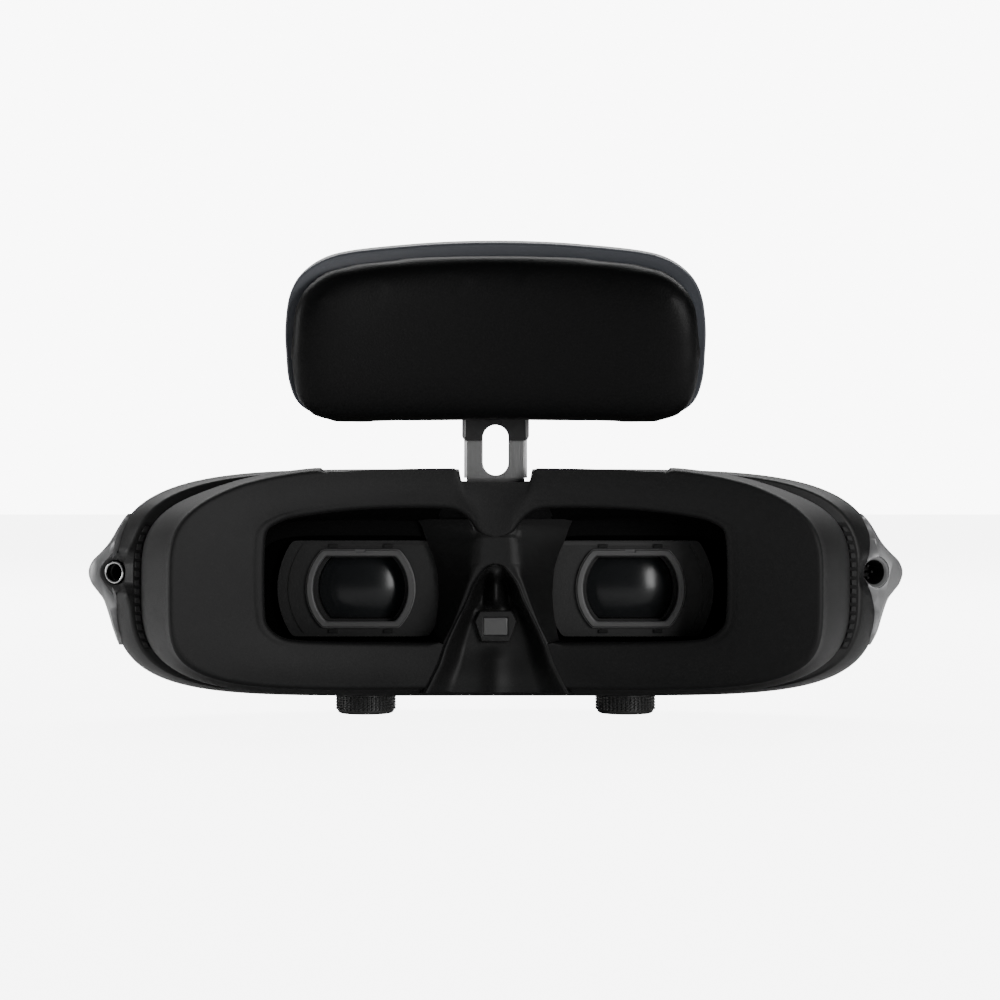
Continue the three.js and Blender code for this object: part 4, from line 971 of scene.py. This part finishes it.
def eyepiece(side, name):
    carriage, lens_body = f"carriage_{name}", f"lens_{name}"
    outer = flat_circle(19.75, 11.35, corner=6)
    throat = on_eye(flat_circle(12.6, 8.95), side)
    face = plate(f"eye_plate_{name}", on_eye(outer, side), [throat], -6.6, -4.6, PLATE_FACE, 0.3)
    t = np.radians(np.linspace(-38, 38, 40))
    seam = np.column_stack([side * (EYE_X + 17.3 * np.cos(t)), EYE_Z + 17.3 * np.sin(t)])
    over = [(side * (EYE_X + x), EYE_Z + 9.9) for x in np.linspace(-9.5, 9.5, 12)]
    cut(face, [ring_tool("seam", seam, 0.22, -7.5, -6.25), ring_tool("seam2", over, 0.18, -7.5, -6.3)])
    fit(face, carriage, "housing_black")
    high, near, wide, bevel = 14.0, -26.6, 28.9, 3
    leaf = [(near + bevel, -high), (wide - bevel, -high), (wide, -high + bevel), (wide, high - bevel)]
    leaf += [(wide - bevel, high), (near + bevel, high), (near, high - bevel), (near, -high + bevel)]
    leaf = on_eye(softened(resample(np.array(leaf), 200), 20), side)
    # Near-black sheet behind the wall's window, which also stops the view through: painted shade.
    back = plate(f"eye_shutter_{name}", leaf, [throat], -4.55, -3.35, SHUTTER_PAINTED_SHADE, 0.2)
    fit(back, carriage, "housing_black")
    # ring with a rounded front edge and a small notch at the middle of its top
    shape = lambda grow: flat_circle(13.0, 9.3, grow, corner=5)
    hole = lambda grow: flat_circle(11.25, 7.7, grow, corner=5)
    foot, top, r = -6.56, -7.85, 0.35
    rows = [placed(shape(0), side, foot), placed(shape(0), side, top + r)]
    for a in np.linspace(0.3, math.pi / 2, 5):
        rows.append(placed(shape(-r * math.sin(a)), side, top + r * math.cos(a)))
    for a in np.linspace(0, math.pi / 2, 5):
        rows.append(placed(hole(r * (1 - math.sin(a))), side, top + r * (1 - math.cos(a))))
    rows += [placed(hole(0), side, foot), rows[0]]
    ring = loft(f"eye_ring_{name}", rows, RING_FACE, sharp=40)
    x = side * EYE_X
    cut(ring, [box_mesh("tab", (x - 1.3, -9, EYE_Z + 8.5), (x + 1.3, -7.3, EYE_Z + 9.8), DARK)])
    fit(ring, carriage, "ring_grey", f"eyepiece_ring_{name}")
    for k, (cx, cz) in enumerate(((-6.5, 10.1), (6.5, 10.1), (-6.5, -10.1), (6.5, -10.1))):
        x, z = side * (EYE_X + cx), EYE_Z + cz
        low, high = (x - 1.1, -7.1, z - 0.45), (x + 1.1, -6.5, z + 0.45)
        clip = box_mesh(f"eye_clip_{name}_{k}", low, high, DARK, 0.12)
        fit(clip, carriage, "housing_black")
    # barrel: a deep throat with a stepped shoulder round the lens
    steps = [(12.15, 8.65, 10.4), (12.15, 8.65, -3.6), (11.9, 8.4, -3.85), (11.0, 7.6, -3.85),
             (10.6, 7.4, -3.6), (10.4, 7.3, 10.4), (12.15, 8.65, 10.4)]
    wall = [placed(flat_circle(r, h), side, y) for r, h, y in steps]
    barrel = loft(f"eye_barrel_{name}", wall, INSIDE, sharp=30)
    fit(barrel, lens_body, "housing_black")
    lens_r = 10.35
    edge = flat_circle(lens_r, 7.25)
    lens_rows = [placed(edge, side, 0.6)]
    for u in np.concatenate([[1.0], np.linspace(0.985, 0.02, 16)]):
        p = edge * u
        radius = np.linalg.norm(p, axis=1)
        lens_rows.append(placed(p, side, -2.9 + 2.2 * (radius / lens_r) ** 2 + (0.25 if u == 1.0 else 0)))
    lens = loft(f"eye_lens_{name}", lens_rows, LENS, caps=(True, True), sharp=40)
    fit(lens, lens_body, "lens_glass", f"eyepiece_lens_{name}")


FLUTES = 44  # upright grooves round a knob


def knob(side, name):
    """Focus knob: upright grooves crossed by a few level ones, with a rounded lower edge."""
    x0, y0, waist, full = side * EYE_X, 16.0, 6.95, 7.4
    n = FLUTES * 8
    t = np.linspace(0, 2 * math.pi, n, endpoint=False)
    upright = np.clip(np.cos(FLUTES * t) * 1.6, -1, 1) * 0.5 + 0.5
    rows = []

    def ring(r, z, depth=0.0):
        radius = r - depth * (1 - upright)
        rows.append(np.column_stack([x0 + radius * np.cos(t), y0 + radius * np.sin(t), np.full(n, z)]))

    for r, z in ((5.6, 0.0), (6.3, 0.05), (6.75, 0.3), (waist, 0.7)):
        ring(r, z)
    for k in range(5):
        z = 0.95 + k * 0.72
        ring(waist, z)
        ring(full, z + 0.12, 0.42)
        ring(full, z + 0.52, 0.42)
        ring(waist, z + 0.64)
    for r, z in ((waist, 4.7), (6.6, 5.0), (2.6, 5.05)):
        ring(r, z)
    made = loft(f"knob_{name}", rows, KNOB, caps=(True, True), sharp=38)
    fit(made, f"knob_{name}", "housing_black", f"focus_knob_{name}")


# ---------- forehead rest ----------
SLOT_R = 3.0  # half width of the slot in the bracket and of the arch in the slider


def slot_path(low, high):
    return np.array(arc(0, high, SLOT_R, 0, 180, 14) + arc(0, low, SLOT_R, 180, 360, 14))


def bracket():
    """Folded steel strip that rises from the groove, with a slot for the slider's screw."""
    half, y0, thick = 6.8, -12.4, 1.2
    bend = arc(y0 + 2.0, 57.8, 2.0, 180, 270, 8)
    inner = arc(y0 + 2.0, 57.8, 0.8, 180, 270, 8)
    outer_path = [(y0, 95.6), (y0, 60)] + bend + [(5.0, 55.8)]
    inner_path = [(y0 + thick, 95.6), (y0 + thick, 60)] + inner + [(5.0, 57.0)]
    section = np.array(outer_path + inner_path[::-1])
    n = len(section)
    verts = np.vstack([np.column_stack([np.full(n, x), section]) for x in (-half, half)])
    m = n // 2
    faces = [(i, i + 1, n + i + 1, n + i) for i in range(n - 1)] + [(n - 1, 0, n, 2 * n - 1)]
    for k in range(m - 1):
        a, b = k, k + 1
        faces.append((a, n - 1 - k, n - 2 - k, b))
        faces.append((n + a, n + b, 2 * n - 2 - k, 2 * n - 1 - k))
    made = link("bracket_plate", verts, faces, NICKEL)
    cut(made, [plate("slot", slot_path(61.3, 91.0), [], y0 - 3, y0 + 4, NICKEL)])
    add_bevel(made, 0.22, 3, 50)
    fit(made, "housing", "bracket_steel", "bracket")
    # The folded edges are the bracket's own steel coloured near-white: painted highlight.
    for side, name in ((-1, "left"), (1, "right")):
        low, high = (side * 6.72, y0 - 0.1, 57.7), (side * 7.42, y0 + 2.2, 70.0)
        edge = box_mesh(f"bracket_edge_{name}", low, high, FOLD_PAINTED_HIGHLIGHT, 0.12)
        fit(edge, "housing", "bracket_steel")


def slide():
    """Slider: a plate in a darker copy of the bracket's steel, painted shadow and reflection of the pad,
    between two bright folded edges, with the hinge knuckle behind it.
    """
    half, face, low, high = 7.1, -12.7, 66.4, 95.5
    border = [(-half, low), (-half, high), (half, high), (half, low), (SLOT_R, low)]
    border += arc(0, 67.1, SLOT_R, 0, 180, 20) + [(-SLOT_R, low)]
    made = plate("slide_plate", border, [], face - 1.6, face, SLIDE_PAINTED_SHADE, 0.18)
    fit(made, "slider", "bracket_steel", "pad_slider")
    for side, name in ((-1, "left"), (1, "right")):
        profile = np.array([(6.98, 67.4), (7.45, 66.6), (7.85, 67.4), (7.85, 92.0), (6.98, 92.0)])
        flange = plate(f"slide_edge_{name}", profile * [side, 1], [], face - 1.9, -11.2, NICKEL, 0.18)
        fit(flange, "slider", "bracket_steel")
    left = [(-6.6, 1.3), (-6.8, 1.5), (-6.8, 2.4), (-6.6, 2.6)]
    barrel = left + [(-along, r) for along, r in left[::-1]] + left[:1]
    knuckle = turned("slide_knuckle", barrel, (0, -17.4, 88.6), (1, 0, 0), SLIDE_PAINTED_SHADE, 64)
    fit(knuckle, "slider", "bracket_steel")
    web = box_mesh("slide_web", (-6.8, -16.2, 86.1), (6.8, -14.2, 91.1), SLIDE_PAINTED_SHADE, 0.2)
    fit(web, "slider", "bracket_steel")


PAD = dict(y=-23.5, z=91.2, tilt=math.radians(15))


def tilt_pad(points):
    """From the pad's own upright position to its place in the goggles."""
    p = np.asarray(points, float)
    c, s = math.cos(PAD["tilt"]), math.sin(PAD["tilt"])
    y = PAD["y"] + p[:, 1] * c - p[:, 2] * s
    z = PAD["z"] + p[:, 1] * s + p[:, 2] * c
    return np.column_stack([p[:, 0], y, z])


def pad_path(points):
    """A closed outline from its right half, top to bottom, evenly cut."""
    half = np.array(points, float)
    loop = np.vstack([half, (half * [-1, 1])[::-1][1:-1]])
    return smooth_path(loop, FINE, True)


def shrink(p, amount):
    """Moves a closed outline inwards by an amount."""
    normal = across(np.roll(p, -1, 0) - np.roll(p, 1, 0))
    if np.sum((p - p.mean(0)) * normal) > 0:
        normal = -normal
    return softened(p + normal * amount, int(abs(amount) * 4))


TRIM_HALF = [
    (0, 20.6), (10, 20.45), (19.3, 20.0), (32.9, 18.9), (39.6, 17.2), (44.4, 13.7), (46.8, 9.2),
    (47.8, 2.3), (47.75, -4), (47.3, -10), (45.6, -15.0), (42.0, -18.0), (36.3, -19.2), (24, -19.6),
    (10, -19.7), (0, -19.7),
]
CUSHION_HALF = [
    (0, 18.4), (10, 18.3), (19.3, 17.9), (32.9, 16.6), (39.8, 14.4), (44.6, 9.2), (46.3, 0.2),
    (46.3, -7.5), (45.3, -13.3), (41.8, -17.7), (36.3, -19.6), (24, -20.1), (10, -20.3), (0, -20.3),
]


def sweep(x):
    """How far the pad's curve falls back towards its ends."""
    return -(np.asarray(x) ** 2) / 320


def inset(path, amount):
    """An outline drawn in by an amount: along its normals near the edge, by scale further in."""
    p = shrink(path, min(amount, 1.2)) if amount else path
    if amount <= 1.2:
        return p
    low, high = p.min(0), p.max(0)
    middle = (low + high) / 2
    return middle + (p - middle) * (1 - 2 * (amount - 1.2) / (high - low))


def closing(path, amount, w):
    """Rows that close a pad's face on to its middle line without disturbing its sweep."""
    p = inset(path, amount)
    middle = (p[:, 1].min() + p[:, 1].max()) / 2
    rows = []
    for share in (0.75, 0.5):
        z = middle + (p[:, 1] - middle) * share
        rows.append(tilt_pad(np.column_stack([p[:, 0], w + sweep(p[:, 0]), z])))
    return rows


def pad_rows(path, levels):
    """Rows of a pad piece: how far each is drawn in, and how far it lies along the pad's own depth."""
    rows = []
    for amount, w in levels:
        p = inset(path, amount)
        rows.append(tilt_pad(at_y(p, w + sweep(p[:, 0]))))
    return rows


def pad():
    trim = pad_path(TRIM_HALF)
    levels = [
        (5.0, -0.3), (2.4, -0.1), (1.1, 0.1), (0.45, 0.05), (0.12, 0.35), (0, 0.8), (0, 3.4), (0.15, 4.2),
        (0.6, 5.4), (1.6, 7.0), (3.2, 8.4), (5.4, 9.3), (8.0, 9.7), (12.0, 9.9), (16.5, 10.0),
    ]
    rows = pad_rows(trim, levels) + closing(trim, 16.5, 10.0)
    shell = loft("pad_back", rows, PAD_TRIM, caps=("ladder", "ladder"), sharp=50)
    window = plate("pad_window", [(-9.4, -24), (9.4, -24), (9.4, 8), (-9.4, 8)], [], 0.5, 14, PAD_TRIM)
    place = Matrix.Translation((0, PAD["y"] * MM, PAD["z"] * MM))
    window.data.transform(place @ Matrix.Rotation(PAD["tilt"], 4, "X"))
    cut(shell, [window])
    fit(shell, "pad", "pad_shell_grey", "pad_shell")
    cushion = pad_path(CUSHION_HALF)
    levels = [
        (3.2, -0.2), (1.2, -0.5), (0.4, -1.0), (0.1, -1.8), (0.0, -2.9), (0.2, -4.3), (0.75, -5.7),
        (1.6, -6.8), (2.7, -7.6), (4.2, -8.25), (6.2, -8.75), (8.6, -9.1), (11.2, -9.3), (13.6, -9.4),
        (15.6, -9.45), (17.0, -9.48),
    ]
    rows = pad_rows(cushion, levels) + closing(cushion, 17.0, -9.48)
    soft = loft("cushion", rows, LEATHER, caps=("ladder", "ladder"), sharp=60)
    settle(soft)
    fit(soft, "pad", "pad_leather", "forehead_cushion")


def settle(obj):
    """Evens out the cushion's skin, as foam under leatherette does."""
    remesh = obj.modifiers.new("even", "REMESH")
    remesh.mode = "VOXEL"
    remesh.voxel_size = 0.0016
    remesh.use_smooth_shade = True
    calm = obj.modifiers.new("calm", "SMOOTH")
    calm.factor = 0.5
    calm.iterations = 6
    apply_modifiers(obj)
    obj.data.shade_smooth()


both(eyepiece)
both(knob)
bracket()
slide()
pad()


# ---------- stage ----------
def stage():
    mesh = bpy.data.meshes.new("floor")
    mesh.from_pydata([(-8, -8, 0), (8, -8, 0), (8, 8, 0), (-8, 8, 0)], [], [(0, 1, 2, 3)])
    floor = show(bpy.data.objects.new("floor", mesh))
    pale = surface("pale floor", (0.93, 0.93, 0.93), 0.7, wear=0.01, specular=0.1)
    tree = pale.node_tree
    shader = tree.nodes["Principled BSDF"]
    rays = tree.nodes.new("ShaderNodeLightPath")
    tree.links.new(rays.outputs["Is Camera Ray"], shader.inputs["Emission Strength"])
    fill(shader, dict(Emission_Color=(6.5, 6.5, 6.5, 1)))
    mesh.materials.append(pale)
    floor.location.z = -0.0002

    world = bpy.data.worlds.new("studio")
    bpy.context.scene.world = world
    world.use_nodes = True
    tree = world.node_tree
    out = tree.nodes["World Output"]
    dim = tree.nodes["Background"]
    fill(dim, dict(Color=(0.55, 0.56, 0.58, 1), Strength=0.09))
    white = tree.nodes.new("ShaderNodeBackground")
    fill(white, dict(Color=(1, 1, 1, 1), Strength=9.0))
    rays = tree.nodes.new("ShaderNodeLightPath")
    mix = tree.nodes.new("ShaderNodeMixShader")
    tree.links.new(rays.outputs["Is Camera Ray"], mix.inputs["Fac"])
    tree.links.new(dim.outputs["Background"], mix.inputs[1])
    tree.links.new(white.outputs["Background"], mix.inputs[2])
    tree.links.new(mix.outputs["Shader"], out.inputs["Surface"])

    def softbox(name, place, aim, size, power):
        light = bpy.data.lights.new(name, "AREA")
        light.shape = "RECTANGLE"
        light.size, light.size_y = size
        light.energy = power
        obj = show(bpy.data.objects.new(name, light))
        obj.location = place
        obj.rotation_euler = (Vector(aim) - Vector(place)).to_track_quat("-Z", "Y").to_euler()

    softbox("key", (-0.5, -0.5, 0.75), (0.0, -0.02, 0.04), (0.5, 0.5), 0.32)
    softbox("fill", (0.5, -0.72, 0.16), (0.03, -0.02, 0.03), (0.3, 0.3), 3.7)
    softbox("top", (0.0, 0.62, 0.8), (0.0, 0.35, 0.0), (1.6, 0.5), 16.0)
    softbox("side", (-0.95, 0.02, 0.16), (0.0, 0.0, 0.04), (0.3, 0.3), 2.6)


def camera():
    data = bpy.data.cameras.new("camera")
    data.lens = 85
    data.sensor_width = 36
    data.shift_x = 0.0044
    data.clip_start = 0.01
    obj = show(bpy.data.objects.new("camera", data))
    obj.location = (0, -0.5667, 0.0525)
    obj.rotation_euler = (math.pi / 2, 0, 0)
    bpy.context.scene.camera = obj


stage()
camera()
